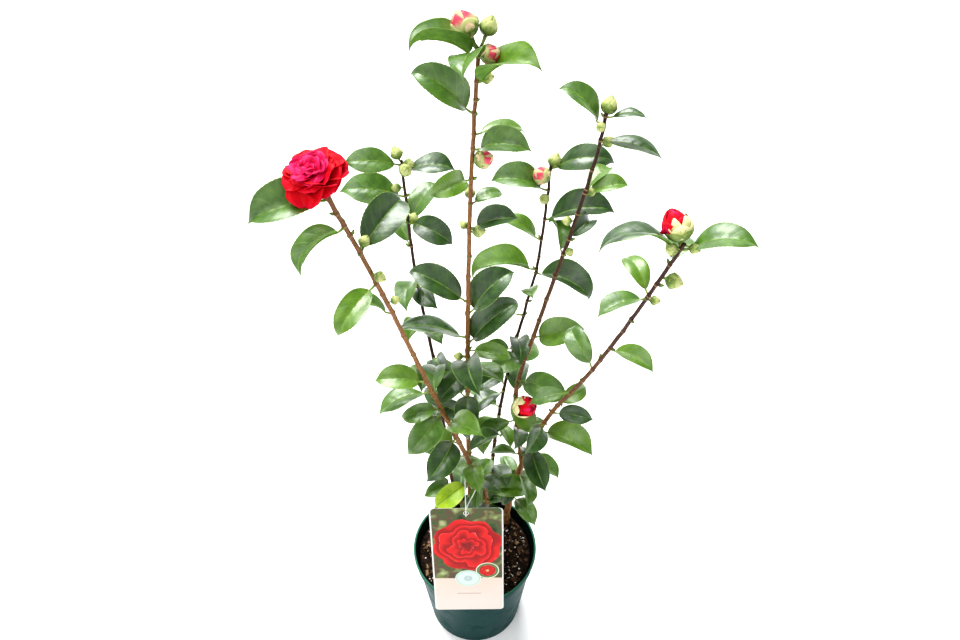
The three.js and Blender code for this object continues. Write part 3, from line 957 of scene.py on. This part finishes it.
def grow_bud(batch, base, axis, length, rng, rows, plump, open_by=0.0, core=SCALE, reach=1.0,
             fine=9):
    """A bud of overlapping scales. rows lists (scales, finish) from the outside in.

    open_by lifts the points off the core, core is its finish or None, and reach scales how
    far up the bud the rows go. fine is the number of points along each scale.
    """
    axis = unit(axis)
    first, second = square_to(axis)
    width = plump * length
    if core is not None:
        share = np.linspace(0, 1, 12)
        tube(batch, base + np.outer(share * length, axis), egg(share, width) * 0.93 + 0.1 * MM, 14,
             core, reference=first)
    for level, (number, finish) in enumerate(rows):
        low = 0.02 + 0.13 * level
        high = min(0.985, low + (0.56 + 0.10 * level) * reach)
        for i in range(number):
            turn = 2 * math.pi * (i + 0.5 * level + rng.uniform(-0.12, 0.12)) / number
            rise = np.linspace(0, 1, fine)
            share = low + (high - low) * rise
            proud = (0.030 * (len(rows) - level) * (1 - 0.5 * rise) + open_by * rise ** 2 * 0.5) * width
            around = first * math.cos(turn) + second * math.sin(turn)
            radius = egg(share, width) + proud
            line = base + np.outer(share * length, axis) + np.outer(radius, around)
            half = radius * math.pi / number * 1.3 * np.sqrt(np.maximum(1 - rise ** 2.4, 0.03))
            wrap_scale(batch, line, axis, around, radius, half, 0.025 * width, finish)


# %% [markdown]
# Where a flower bud sits is part of how this plant looks, so the buds are listed, limb by limb. Leaf buds
# follow the seeded rule instead: about half the joints get one.

# %% Grow the buds
# Limb: height in millimetres, heading, rise, length, stalk length, and 1 for a pink point.
FLOWER_BUDS = {
    "stem_leader": [(998, 165, 62, 28, 12, 1), (998, 30, 66, 19, 13, 0), (990, 330, 30, 20, 3, 1),
                    (968, 6, 6, 13, 2, 0), (876, 345, 30, 21, 2, 1), (827, 93, 50, 13, 2, 0),
                    (787, 345, 20, 15, 2, 0), (789, 150, 40, 10, 2, 0), (589, 180, 5, 12, 3, 0)],
    "stem_left": [(875, 50, 40, 12, 2, 0), (842, 334, -12, 12, 2, 0), (793, 0, 24, 10, 2, 0)],
    "stem_back_left": [(808, 140, 60, 16, 3, 0), (795, 300, 50, 17, 3, 0), (808, 335, 0, 13, 2, 0),
                       (777, 190, 0, 12, 2, 0), (726, 45, 48, 15, 2, 0)],
    "stem_back_right": [(787, 50, 56, 18, 3, 0), (775, 200, 45, 23, 2, 1), (752, 240, 30, 14, 2, 0)],
    "stem_right": [(889, 60, 60, 20, 2, 0), (878, 240, 30, 12, 2, 0), (855, 10, 30, 14, 2, 0),
                   (794, 20, 30, 12, 2, 0), (761, 190, 8, 12, 2, 0), (727, 290, -22, 11, 2, 0)],
    "stem_far_right": [(863, 200, 30, 13, 3, 0), (873, 330, 0, 11, 3, 0), (820, 345, -10, 18, 2, 0),
                       (780, 350, 4, 11, 2, 0)],
}

rng = random.Random(311)


def seat_bud(name, height, heading, rise, stalk, thick):
    """A short stalk on a limb, and the point and direction that a bud starts with."""
    rail, way = rails[name], aim(heading, rise)
    step = rail.at_height(height * MM)
    foot, out = limb_point(rail, step, rail.line[step] + way)
    seat = foot + way * stalk * MM
    tube(bud_stalks, np.array([foot - out * MM, (foot + seat) / 2, seat + way * 1.2 * MM]),
         np.array([0.9, 0.85, 1.2]) * thick, 10)
    return seat, way


for name, wanted in FLOWER_BUDS.items():
    for height, heading, rise, length, stalk, blush in wanted:
        seat, way = seat_bud(name, height, heading, rise, stalk, length * MM / 11)
        if blush:
            grow_bud(buds, seat, way, length * MM, rng, [(4, BASE), (4, SCALE), (4, BLUSH)],
                     plump=0.46, core=BLUSH, reach=0.86)
        else:
            grow_bud(buds, seat, way, length * MM, rng, [(4, BASE), (5, SCALE), (5, SCALE)], plump=0.44)
for name, rail in rails.items():
    for step in sorted(set(rail.joints)):
        if rng.random() < 0.5 and step < len(rail.line) - 6:
            side = aim(rng.uniform(0, 360), 30)
            foot, out = limb_point(rail, step, rail.line[step] + side)
            grow_bud(buds, foot, unit(out + 1.1 * rail.along[step]), rng.uniform(4.5, 7.5) * MM, rng,
                     [(3, BASE), (3, BASE)], plump=0.24, core=BASE, fine=6)
buds.build()

# %% [markdown]
# ## The flower
#
# The open flower is double: broad outer petals that fall back, a bowl of smaller ones, and
# a heart crowded with narrow ruffled petals. Each petal is a skin on a spine that climbs out
# of the calyx and bends outwards. The whorls differ in number, length, width and how far
# they open, so one table makes them all. Two younger flowers are still wrapped like buds,
# red petals over pale scales.

# %% Petals
def petal_finish(name, deep, bright, edge):
    """A petal that brightens from its base to its edge, with fine veins. Its pinker edge is a painted
    highlight.
    """
    finish = Finish(name, roughness=0.55, Specular_IOR_Level=0.15)
    along, across = finish.surface()
    veins = (across * 34 + finish.noise(60, 2) * 2.5).apply("SINE") * 0.5 + 0.5
    body = finish.blend(finish.span(along + (finish.noise(70, 3) - 0.5) * 0.3, 0.1, 0.75), deep, bright)
    # Towards the tip the petal turns to the edge colour: a painted highlight along its rim.
    body = finish.blend(finish.span(along, 0.76, 1.0) * 0.6, body, edge)
    finish.set("Base Color", finish.blend(veins * 0.10, body, edge))
    finish.set("Roughness", veins * 0.12 + 0.46)
    finish.bump(veins, 0.2, 0.2 * MM)
    return finish.material


crimson = petal_finish("petal_crimson", (0.30, 0.0005, 0.003), (0.62, 0.001, 0.010),
                       (0.66, 0.005, 0.040))
# The pink petals paint the sky's reflection on the top of the bloom: a painted highlight in rose pink.
pink_highlight = petal_finish("petal_pink_highlight", (0.40, 0.001, 0.022), (0.66, 0.005, 0.080), (0.72, 0.045, 0.190))
cream = scale_finish("calyx_scale", (0.40, 0.46, 0.14), (0.78, 0.70, 0.40), 0.6)
CRIMSON, PINK_HIGHLIGHT = 0, 1
petals = Batch("petals", [crimson, pink_highlight], "foliage")
calyx = Batch("calyx_scales", [cream, bud_base], "foliage")
PETAL_ROWS, PETAL_ACROSS = 15, np.linspace(-1, 1, 12)


def grow_petal(base, axis, turn, length, width, opening, ruffle, finish, rng):
    """One petal that leaves the calyx at base and bends away from the axis."""
    first, second = square_to(axis)
    around = first * math.cos(turn) + second * math.sin(turn)
    side = np.cross(axis, around)
    t = np.linspace(0, 1, PETAL_ROWS)
    bend = np.radians(opening) * ease(-0.1, 0.7, t) + np.radians(rng.uniform(0, 26)) * t ** 4
    step = length / (PETAL_ROWS - 1)
    out = np.cumsum(np.sin(bend)) * step
    climb = np.cumsum(np.cos(bend)) * step
    spine = base + np.outer(climb, axis) + np.outer(out + 1.2 * MM, around)
    sides = np.tile(side, (PETAL_ROWS, 1))
    up = unit(np.cross(unit(np.gradient(spine, axis=0)), sides))
    if up[0] @ around > 0:
        up = -up
    half = width / 2 * (0.22 + 0.78 * np.sin(math.pi * np.clip(0.06 + 0.74 * t, 0, 1)) ** 0.75)
    half *= np.sqrt(np.maximum(1 - ease(0.72, 1.08, t) ** 1.5, 0.1))
    columns = PETAL_ACROSS[None]
    phase = rng.uniform(0, 6)
    cup = 0.26 * half[:, None] * columns ** 2
    wave = ruffle * half[:, None] * (t ** 1.5)[:, None] * (
        0.16 * np.sin(3.4 * columns + phase) + 0.08 * np.sin(7.5 * columns + 2 * phase + 3 * t[:, None]))
    strips = np.full(len(PETAL_ACROSS) - 1, finish)
    skin(petals, spine, sides, up, half, PETAL_ACROSS, cup + wave, 0.3 * MM, strips, finish, finish)


def grow_flower(base, axis, whorls, size, rng):
    """A flower from a table of whorls, the outermost first."""
    for number, length, width, opening, climb, ruffle, finish in whorls:
        offset = rng.uniform(0, 6)
        foot = base + axis * climb * size * MM
        for i in range(number):
            turn = offset + 2 * math.pi * (i + rng.uniform(-0.16, 0.16)) / number
            long = length * size * MM * rng.uniform(0.87, 1.12)
            wide = width * size * MM * rng.uniform(0.9, 1.1)
            open_to = opening + rng.uniform(-13, 13)
            grow_petal(foot, axis, turn, long, wide, open_to, ruffle * rng.uniform(0.7, 1.3), finish, rng)


# Each whorl: petals, length, width, opening in degrees, climb, ruffle, finish.
OPEN_FLOWER = [
    (6, 28, 30, 110, 3, 1.1, CRIMSON),
    (6, 27, 28, 92, 5, 1.2, CRIMSON),
    (7, 25, 24, 74, 6, 1.3, CRIMSON),
    # The inner whorls, on top of the bloom, take the painted pink highlight.
    (7, 22, 20, 56, 8, 1.5, PINK_HIGHLIGHT),
    (8, 18, 17, 40, 9, 2.0, PINK_HIGHLIGHT),
    (8, 16, 14, 26, 10, 2.6, PINK_HIGHLIGHT),
    (8, 13, 12, 12, 10, 2.8, PINK_HIGHLIGHT),
]
BLOOM_SIZE = 1.05
rng = random.Random(52)
bloom_seat = rails["stem_left"].line[-1] - rails["stem_left"].along[-1] * MM
bloom_face = aim(215, 76)
bloom_base = bloom_seat + aim(185, 62) * 9 * MM
neck = np.array([bloom_seat, (bloom_seat + bloom_base) / 2, bloom_base])
tube(bud_stalks, neck, np.array([2.1, 2.6, 4.0]) * MM, 12)
grow_flower(bloom_base, bloom_face, OPEN_FLOWER, BLOOM_SIZE, rng)
grow_bud(calyx, bloom_base - bloom_face * 3 * MM, bloom_face, 17 * MM, rng, [(5, BASE), (5, SCALE)],
         plump=0.5, open_by=0.8, core=BASE)

for name, height, heading, rise, stalk, length, bare in YOUNG_FLOWERS:
    seat, way = seat_bud(name, height, heading, rise, stalk, 2.6 * MM)
    lean = unit(way + 0.28 * aim(bare, 10))
    # The innermost petals of a young flower take the painted pink highlight.
    grow_bud(petals, seat + way * 3 * MM, lean, length * 0.94 * MM, rng,
             [(4, CRIMSON), (4, CRIMSON), (3, PINK_HIGHLIGHT)], plump=0.40, open_by=0.22, core=CRIMSON, reach=1.25)
    grow_bud(calyx, seat, way, length * MM, rng, [(5, BASE), (5, SCALE), (5, SCALE)],
             plump=0.43, open_by=0.10, core=None, reach=0.72)
petals.build()
calyx.build()
bud_stalks.build()

# %% [markdown]
# ## The pot
#
# A nursery pot is thin moulded plastic: a tapered body, a wider collar that stiffens the
# top, a small rounded lip, and holes to drain. The solid has 32 sides, so its outline looks
# cut. The same levels and radii are read from its corners and spun with 160 sides, with the
# lip and the foot rounded. The drain holes are cut where the solid has them.

# %% Pot profile
POT_SIDES = 160
POT_FLOOR = 3 * MM
POT_LIP = 1.7 * MM
COLLAR_SPAN = (0.80, 0.95)
pot_points = corners("pot")
levels = {}
for x, y, height in pot_points:
    levels.setdefault(round(height, 4), []).append(math.hypot(x, y))
outer = sorted((height, max(radii)) for height, radii in levels.items())
rim_height = outer[-1][0]
rim_radius = max(radius for _, radius in outer)
foot_radius = outer[0][1]
in_span = [(height, radius) for height, radius in outer
           if COLLAR_SPAN[0] < height / rim_height < COLLAR_SPAN[1]]
collar_height, collar_radius = in_span[-1]
inner_collar = min(levels[collar_height])

# The outline runs from the axis out under the foot, up the outside, over the lip and back down.
profile = [(0.0, 0.6 * MM), (foot_radius - 3 * MM, 0.6 * MM), (foot_radius - 2.4 * MM, 0.0)]
profile += [(radius, height) for height, radius in outer if height < 2 * MM and radius > foot_radius - MM]
profile += [(foot_radius + 1.9 * MM, 4 * MM)]
profile += [(radius - 0.3 * MM, height - 1.2 * MM) for height, radius in in_span[:-1]]
profile += [(collar_radius - 0.8 * MM, collar_height - 0.8 * MM), (collar_radius, collar_height)]
profile += [(collar_radius + 0.7 * MM, collar_height + 9 * MM)]
profile += [(collar_radius + 1.1 * MM, rim_height - 4.6 * MM)]
for turn in np.radians(np.linspace(-90, 180, 11)):
    profile.append((rim_radius + POT_LIP * (math.cos(turn) - 1),
                    rim_height + POT_LIP * (math.sin(turn) - 1)))
profile += [(rim_radius - 4.2 * MM, rim_height - 6 * MM), (inner_collar, collar_height)]
profile += [(foot_radius - 2 * MM, POT_FLOOR + MM), (foot_radius - 3 * MM, POT_FLOOR), (0.0, POT_FLOOR)]


def spin(batch, outline, sides):
    """Turns an outline of (radius, height) pairs into a closed body round the +Z axis."""
    turn = full_turn(sides)
    ring = np.array([(max(r, 1e-5), z) for r, z in outline])
    points = np.stack([ring[:, :1] * np.cos(turn), ring[:, :1] * np.sin(turn),
                       np.repeat(ring[:, 1:], sides, 1)], -1).reshape(-1, 3)
    start = batch.add(points, quads(len(ring), sides, closed=True), 0)
    batch.cap(range(start + sides - 1, start - 1, -1), 0)
    batch.cap(range(start + (len(ring) - 1) * sides, start + len(ring) * sides), 0)


# %% Pot finish and body
pot_finish = Finish("pot_plastic", roughness=0.45, Specular_IOR_Level=0.04)
pot_height = pot_finish.node("ShaderNodeSeparateXYZ", inputs={0: pot_finish.place()}, out=2)
dust = pot_finish.span(pot_finish.noise(26, 5), 0.5, 0.8)
scuff = pot_finish.span(pot_finish.noise(180, 4), 0.66, 0.76)
teal = pot_finish.blend(pot_finish.noise(9), (0.0004, 0.030, 0.029), (0.0008, 0.044, 0.043))
# A wall's normal points away from the axis outside and towards it inside. Inside, the wall is darkened to
# near black: painted shade inside the pot.
facing = pot_finish.node("ShaderNodeVectorMath", {"operation": "DOT_PRODUCT"},
                         {0: pot_finish.place("Normal"), 1: pot_finish.place()}, out=1)
teal = pot_finish.blend(pot_finish.span(facing, -20 * MM, 20 * MM), (0.001, 0.009, 0.008), teal)
# The top of the lip turns a lighter green: a painted highlight along the rim, with some wear.
lip_highlight_and_wear = pot_finish.span(pot_height, rim_height - 1.6 * MM, rim_height - 0.3 * MM)
teal = pot_finish.blend(lip_highlight_and_wear, teal, (0.035, 0.135, 0.085))
teal = pot_finish.blend(dust * 0.02, teal, (0.10, 0.11, 0.09))
pot_finish.set("Base Color", pot_finish.blend(scuff * 0.08, teal, (0.03, 0.13, 0.12)))
pot_finish.set("Roughness", dust * 0.25 + pot_finish.noise(400, 2) * 0.12 + 0.36)
pot_finish.bump(pot_finish.noise(700, 3) + pot_finish.noise(60, 2) * 0.6, 0.12, 0.25 * MM)

pot_batch = Batch("pot_shell", [pot_finish.material], "pot_plastic")
spin(pot_batch, profile, POT_SIDES)
pot_shell = pot_batch.build(["pot"])

# Corners in the middle of the foot belong to the drain holes, and near ones to the same hole.
DRAIN_RADIUS = 5 * MM
from_axis = np.hypot(pot_points[:, 0], pot_points[:, 1])
drain_points = pot_points[(pot_points[:, 2] < 0.5 * MM) & (from_axis < 0.8 * foot_radius)]
holes = []
for point in drain_points:
    for hole in holes:
        if np.linalg.norm(np.mean(hole, 0)[:2] - point[:2]) < 4 * DRAIN_RADIUS:
            hole.append(point)
            break
    else:
        holes.append([point])
drills = Batch("drills", [pot_finish.material], "pot_plastic")
for hole in holes:
    middle = np.mean(hole, 0)
    tube(drills, [middle - UP * 5 * MM, middle, middle + UP * 8 * MM], np.full(3, DRAIN_RADIUS), 28)
drill = drills.build()
cut = pot_shell.modifiers.new("drain_holes", "BOOLEAN")
cut.object, cut.operation, cut.solver = drill, "DIFFERENCE", "EXACT"
bpy.context.view_layer.update()
shaped = bpy.data.meshes.new_from_object(pot_shell.evaluated_get(bpy.context.evaluated_depsgraph_get()))
pot_shell.modifiers.clear()
pot_shell.data = shaped
bpy.data.objects.remove(drill)
print(f"pot: {2 * rim_radius / MM:.0f} mm wide, {rim_height / MM:.0f} mm tall, {len(holes)} drain holes")

# %% [markdown]
# ## The compost
#
# Potting compost is dark peat with shreds of bark and white grains of perlite. The bed is a
# closed body with a lumpy top that dips at the rim and rises round the trunks. Loose bits
# are scattered on it by a seeded draw: bark chips of three browns, and perlite.

# %% Compost bed
soil_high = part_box("soil")[1]
soil_radius = soil_high[0]
bed_finish = Finish("peat", roughness=0.95, Specular_IOR_Level=0.1)
clod = bed_finish.noise(170, 6, 0.7)
peat = bed_finish.blend(bed_finish.span(clod, 0.35, 0.68), (0.003, 0.0015, 0.001), (0.022, 0.012, 0.007))
shred = bed_finish.span(bed_finish.noise(420, 3), 0.6, 0.72)
bed_finish.set("Base Color", bed_finish.blend(shred, peat, (0.075, 0.045, 0.025)))
bed_finish.bump(clod + bed_finish.noise(600, 4), 0.9, 1.5 * MM)


def trunk_gaps(x, y):
    """How far a point on the compost is from the foot of each trunk."""
    feet = [rails[name].line[0] for name in trunk_nodes]
    return [math.hypot(x - foot[0], y - foot[1]) for foot in feet]


def lump(x, y):
    """Height of the compost above its level, at a point seen from above."""
    here = Vector((x * 38, y * 38, 0.7))
    fine = Vector((x * 170, y * 170, 4.1))
    mound = sum(math.exp(-gap ** 2 / (2 * (14 * MM) ** 2)) for gap in trunk_gaps(x, y))
    dip = 10 * max(0, math.hypot(x, y) / soil_radius - 0.8)
    return (2.2 * noise.noise(here) + 1.3 * noise.noise(fine) + 1.4 * mound - dip - 0.6) * MM


BED_SIDES = 150
bed = Batch("compost_bed", [bed_finish.material], "compost")
rows = []
for radius in np.linspace(0.5 * MM, soil_radius - 2.2 * MM, 56):
    flat = [(radius * math.cos(a), radius * math.sin(a)) for a in full_turn(BED_SIDES)]
    rows.append([(x, y, soil_high[2] + lump(x, y)) for x, y in flat])
below = [(soil_radius - 2 * MM, soil_high[2] - 12 * MM), (foot_radius - 4 * MM, POT_FLOOR + 2 * MM)]
for radius, z in below:
    rows.append([(radius * math.cos(a), radius * math.sin(a), z) for a in full_turn(BED_SIDES)])
last = (len(rows) - 1) * BED_SIDES
start = bed.add(np.array(rows).reshape(-1, 3), quads(len(rows), BED_SIDES, closed=True)[:, ::-1], 0)
bed.cap(range(start, start + BED_SIDES), 0)
bed.cap(range(start + last + BED_SIDES - 1, start + last - 1, -1), 0)
bed.build(["soil"])

# %% Chips and perlite
chip_finishes = [
    plain_finish("bark_chip_dark", (0.008, 0.004, 0.002), (0.034, 0.018, 0.010), 0.9, 500, 0.6),
    plain_finish("bark_chip_brown", (0.034, 0.016, 0.008), (0.095, 0.046, 0.022), 0.85, 500, 0.6),
    plain_finish("bark_chip_tan", (0.12, 0.070, 0.036), (0.27, 0.175, 0.10), 0.85, 500, 0.6),
    plain_finish("perlite", (0.70, 0.69, 0.64), (0.92, 0.91, 0.88), 0.9, 700, 0.5),
]
CUBE = np.array([(x, y, z) for z in (-1, 1) for y in (-1, 1) for x in (-1, 1)], float)
CUBE_FACES = np.array([(0, 2, 3, 1), (4, 5, 7, 6), (0, 1, 5, 4), (2, 6, 7, 3), (0, 4, 6, 2), (1, 3, 7, 5)])
CHIP_HINGE = np.array([1.0, 0.2, 0.0])
DARK, BROWN, TAN, WHITE = 0, 1, 2, 3
chips = Batch("compost_chips", chip_finishes, "compost")
rng = random.Random(7)


def scatter_chip(size, finish, flat):
    """Drops one rough bit on the compost, clear of the trunks."""
    away = math.sqrt(rng.random()) * (soil_radius - 5 * MM)
    turn = rng.uniform(0, 2 * math.pi)
    x, y = away * math.cos(turn), away * math.sin(turn)
    if min(trunk_gaps(x, y)) < 11 * MM:
        return
    shape = np.array([size * rng.uniform(0.5, 1.3), size * rng.uniform(0.25, 0.7), size * flat])
    points = CUBE * shape * 0.5 * np.array([[rng.uniform(0.55, 1.1) for _ in range(3)] for _ in CUBE])
    spin_by, tip_by = rng.uniform(0, 360), rng.uniform(-38, 38)
    points = np.array([swing(swing(point, CHIP_HINGE, tip_by), UP, spin_by) for point in points])
    points += (x, y, soil_high[2] + lump(x, y) + 0.15 * size)
    chips.add(points, CUBE_FACES, finish)


for _ in range(1500):
    scatter_chip(rng.uniform(1.5, 5.5) * MM, rng.choice((DARK, DARK, DARK, BROWN, BROWN, TAN)), 0.25)
for _ in range(70):
    scatter_chip(rng.uniform(6, 12) * MM, rng.choice((DARK, BROWN, BROWN, TAN)), 0.14)
for _ in range(190):
    scatter_chip(rng.uniform(1.2, 3.4) * MM, WHITE, 0.8)
chips.build(smooth=False)

# %% [markdown]
# ## The label
#
# A nursery label is a stiff printed card that hangs from a loop. Its print is plain and has
# no words: a red flower over soft greens and browns, a small round inset of the same flower,
# a pale pink panel and a pale round badge. The picture is worked out from the distance and
# bearing of each point from the flower's heart.

# %% Card shape
card_points = corners("label_card")
card_middle = card_points.mean(0)
spread = np.linalg.svd(card_points - card_middle)[2]
card_up = spread[0] * np.sign(spread[0][2])
card_right = spread[1] * np.sign(spread[1][0])
card_front = np.cross(card_right, card_up)
local = (card_points - card_middle) @ np.stack([card_right, card_up, card_front], 1)
low, high = local.min(0), local.max(0)
card_width, card_height = high[0] - low[0], high[1] - low[1]
card_origin = card_middle + card_right * (low[0] + high[0]) / 2 + card_up * low[1] + card_front * low[2]
CARD_CORNER = 6 * MM
CARD_THICK = 0.55 * MM
CARD_BOW = 0.96 * MM
END_GAP = 0.02 * MM
print("card:", round(card_width / MM), "by", round(card_height / MM), "mm")

corner_rows = np.linspace(0, CARD_CORNER, 9)
middle_rows = np.linspace(CARD_CORNER, card_height - CARD_CORNER, 40)[1:-1]
card_rows = np.concatenate([corner_rows, middle_rows, card_height - corner_rows[::-1]])
card_rows[[0, -1]] = END_GAP, card_height - END_GAP
into_corner = np.maximum(CARD_CORNER - np.minimum(card_rows, card_height - card_rows), 0)
card_half = card_width / 2 - CARD_CORNER + np.sqrt(CARD_CORNER ** 2 - into_corner ** 2)
card_across = np.linspace(-1, 1, 21)
bow = CARD_BOW * np.cos(card_across * 1.3)[None] * np.sin(math.pi * card_rows / card_height)[:, None]

# %% Card print
# One unit of the print is 100 mm. Places run from the middle and from the foot of the card.
UNITS = 10
PANEL_TOP = 0.70
FLOWER_Y, FLOWER_SIZE = 1.38, 0.470
INSET_X, INSET_Y, INSET_SIZE, INSET_EDGE = 0.27, 0.86, 0.115, 0.163
BADGE_EDGE = 0.182
BORDER = 0.020


def petal_rings(finish, dx, dy, size, petals_in_ring, heart):
    """A printed flower: (inside mask, colour) from the offset to its heart."""
    away = (dx * dx + dy * dy) ** 0.5 / size
    bearing = dy.apply("ARCTAN2", dx)
    ripple = finish.noise(45, 3) * 0.35
    outline = (bearing * petals_in_ring + 0.6).apply("SINE").apply("ABSOLUTE") * 0.09
    inside = 1 - finish.span(away + ripple * 0.3 - outline, 0.97, 1.0)
    band = away * 3.9 - outline * 4 + (bearing * 3 + away * 9 + ripple * 6).apply("SINE") * 0.30 + ripple
    edge = finish.span(band.apply("FRACT"), 0.02, 0.95)
    red = finish.blend(edge, (0.26, 0.001, 0.003), (0.64, 0.010, 0.010))
    lit = finish.span(band.apply("FRACT"), 0.90, 0.98) * finish.span(finish.noise(90, 2), 0.45, 0.6)
    red = finish.blend(lit * 0.5, red, (0.72, 0.20, 0.16))
    red = finish.blend((1 - finish.span(away, 0.05, 0.30)) * 0.75, red, heart)
    return inside, red


def distance(dx, dy):
    """How far a point is, as a field."""
    return (dx * dx + dy * dy) ** 0.5


def print_picture(finish, x, y, blur):
    """The flower over soft greens and browns, with a round inset of the same flower."""
    leafy = finish.node("ShaderNodeValToRGB", {"stops": [
        (0.30, (0.020, 0.035, 0.012)), (0.42, (0.060, 0.100, 0.030)), (0.52, (0.100, 0.055, 0.035)),
        (0.60, (0.160, 0.210, 0.070)), (0.72, (0.430, 0.440, 0.230))]},
        {0: finish.noise(4.5, 3, 0.45, blur)})
    inside, red = petal_rings(finish, x, (y - FLOWER_Y) * 0.93, FLOWER_SIZE, 4.0, (0.12, 0.005, 0.008))
    picture = finish.blend(inside, leafy, red)
    dx, dy = x - INSET_X, y - INSET_Y
    inside, red = petal_rings(finish, dx, dy, INSET_SIZE, 3.0, (0.75, 0.55, 0.20))
    inset = finish.blend(inside, (0.10, 0.17, 0.06), red)
    away = distance(dx, dy)
    rim = finish.span(away, INSET_EDGE - 0.013, INSET_EDGE - 0.010)
    inset = finish.blend(rim, inset, (0.75, 0.72, 0.62))
    return finish.blend(away < INSET_EDGE, picture, inset)


def print_badge(finish, x, y, under):
    """A plain round badge with a few rings, laid over the print under it."""
    ring = distance(x + 0.005, (y - PANEL_TOP) * 1.06)
    rings = finish.span((ring * 42).apply("SINE"), 0.2, 0.9) * (ring < 0.105)
    badge = finish.blend(rings * 0.45, (0.52, 0.62, 0.57), (0.16, 0.22, 0.28))
    line = finish.span(ring, 0.155, 0.158) * (1 - finish.span(ring, 0.163, 0.166))
    badge = finish.blend(line, badge, (0.20, 0.38, 0.30))
    return finish.blend(ring < BADGE_EDGE, under, badge)


def card_finish():
    """The whole print: picture above, panel below, badge, one bar and a pale border."""
    finish = Finish("card_print", roughness=0.45, Specular_IOR_Level=0.2)
    v, u = finish.surface()
    x, y = (u - 0.5) * card_width * UNITS, v * card_height * UNITS
    blur = finish.node("ShaderNodeCombineXYZ", inputs={0: x, 1: y})
    cloud = (finish.noise(2.5, 2, 0.5, blur) - 0.5) * 0.5
    panel = finish.blend(finish.span(y + cloud, 0.1, 0.7), (0.60, 0.545, 0.50), (0.67, 0.50, 0.43))
    picture = print_picture(finish, x, y, blur)
    color = finish.blend(finish.span(y, PANEL_TOP, PANEL_TOP + 0.004), panel, picture)
    color = print_badge(finish, x, y, color)
    bar = ((y - 0.37).apply("ABSOLUTE") < 0.010) * (x.apply("ABSOLUTE") < 0.17)
    color = finish.blend(bar * 0.5, color, (0.22, 0.14, 0.12))
    edge = card_width * UNITS / 2 - BORDER
    border = finish.span(x.apply("ABSOLUTE"), edge - 0.002, edge + 0.002)
    finish.set("Base Color", finish.blend(border, color, (0.72, 0.71, 0.69)))
    finish.set("Roughness", finish.noise(120, 2) * 0.1 + 0.40)
    finish.bump(finish.noise(500, 2), 0.05, 0.1 * MM)
    return finish.material


card_plain = plain_finish("card_stock", (0.66, 0.64, 0.61), (0.74, 0.72, 0.69), 0.5, 300, 0.1)
card = Batch("hanging_label", [card_finish(), card_plain], "card")
count = len(card_rows)
skin(card, card_origin + np.outer(card_rows, card_up), np.tile(card_right, (count, 1)),
     np.tile(card_front, (count, 1)), card_half, card_across, bow + CARD_THICK, CARD_THICK,
     np.zeros(len(card_across) - 1, int), 1, 1)
card.uv[-1][:, 0] = np.tile(np.repeat(card_rows / card_height, len(card_across)), 2)
card.build(["label_card"])

EYELET_RADIUS = 3.3 * MM
eyelet_at = card_origin + card_up * (card_height - 9 * MM) + card_front * (CARD_THICK + 0.4 * MM)
eyelet = Batch("label_eyelet", [card_plain], "card")
around = np.append(full_turn(24), 0.0)
ring = np.outer(np.cos(around), card_right) + np.outer(np.sin(around), card_up)
tube(eyelet, eyelet_at + ring * EYELET_RADIUS, np.full(len(around), 0.55 * MM), 8, reference=card_front)
eyelet.build()

strap = plain_finish("strap_plastic", (0.62, 0.62, 0.60), (0.72, 0.72, 0.70), 0.4, 400, 0.15)
loop = nodes["label_loop"]
loop.data.materials.clear()
loop.data.materials.append(strap)
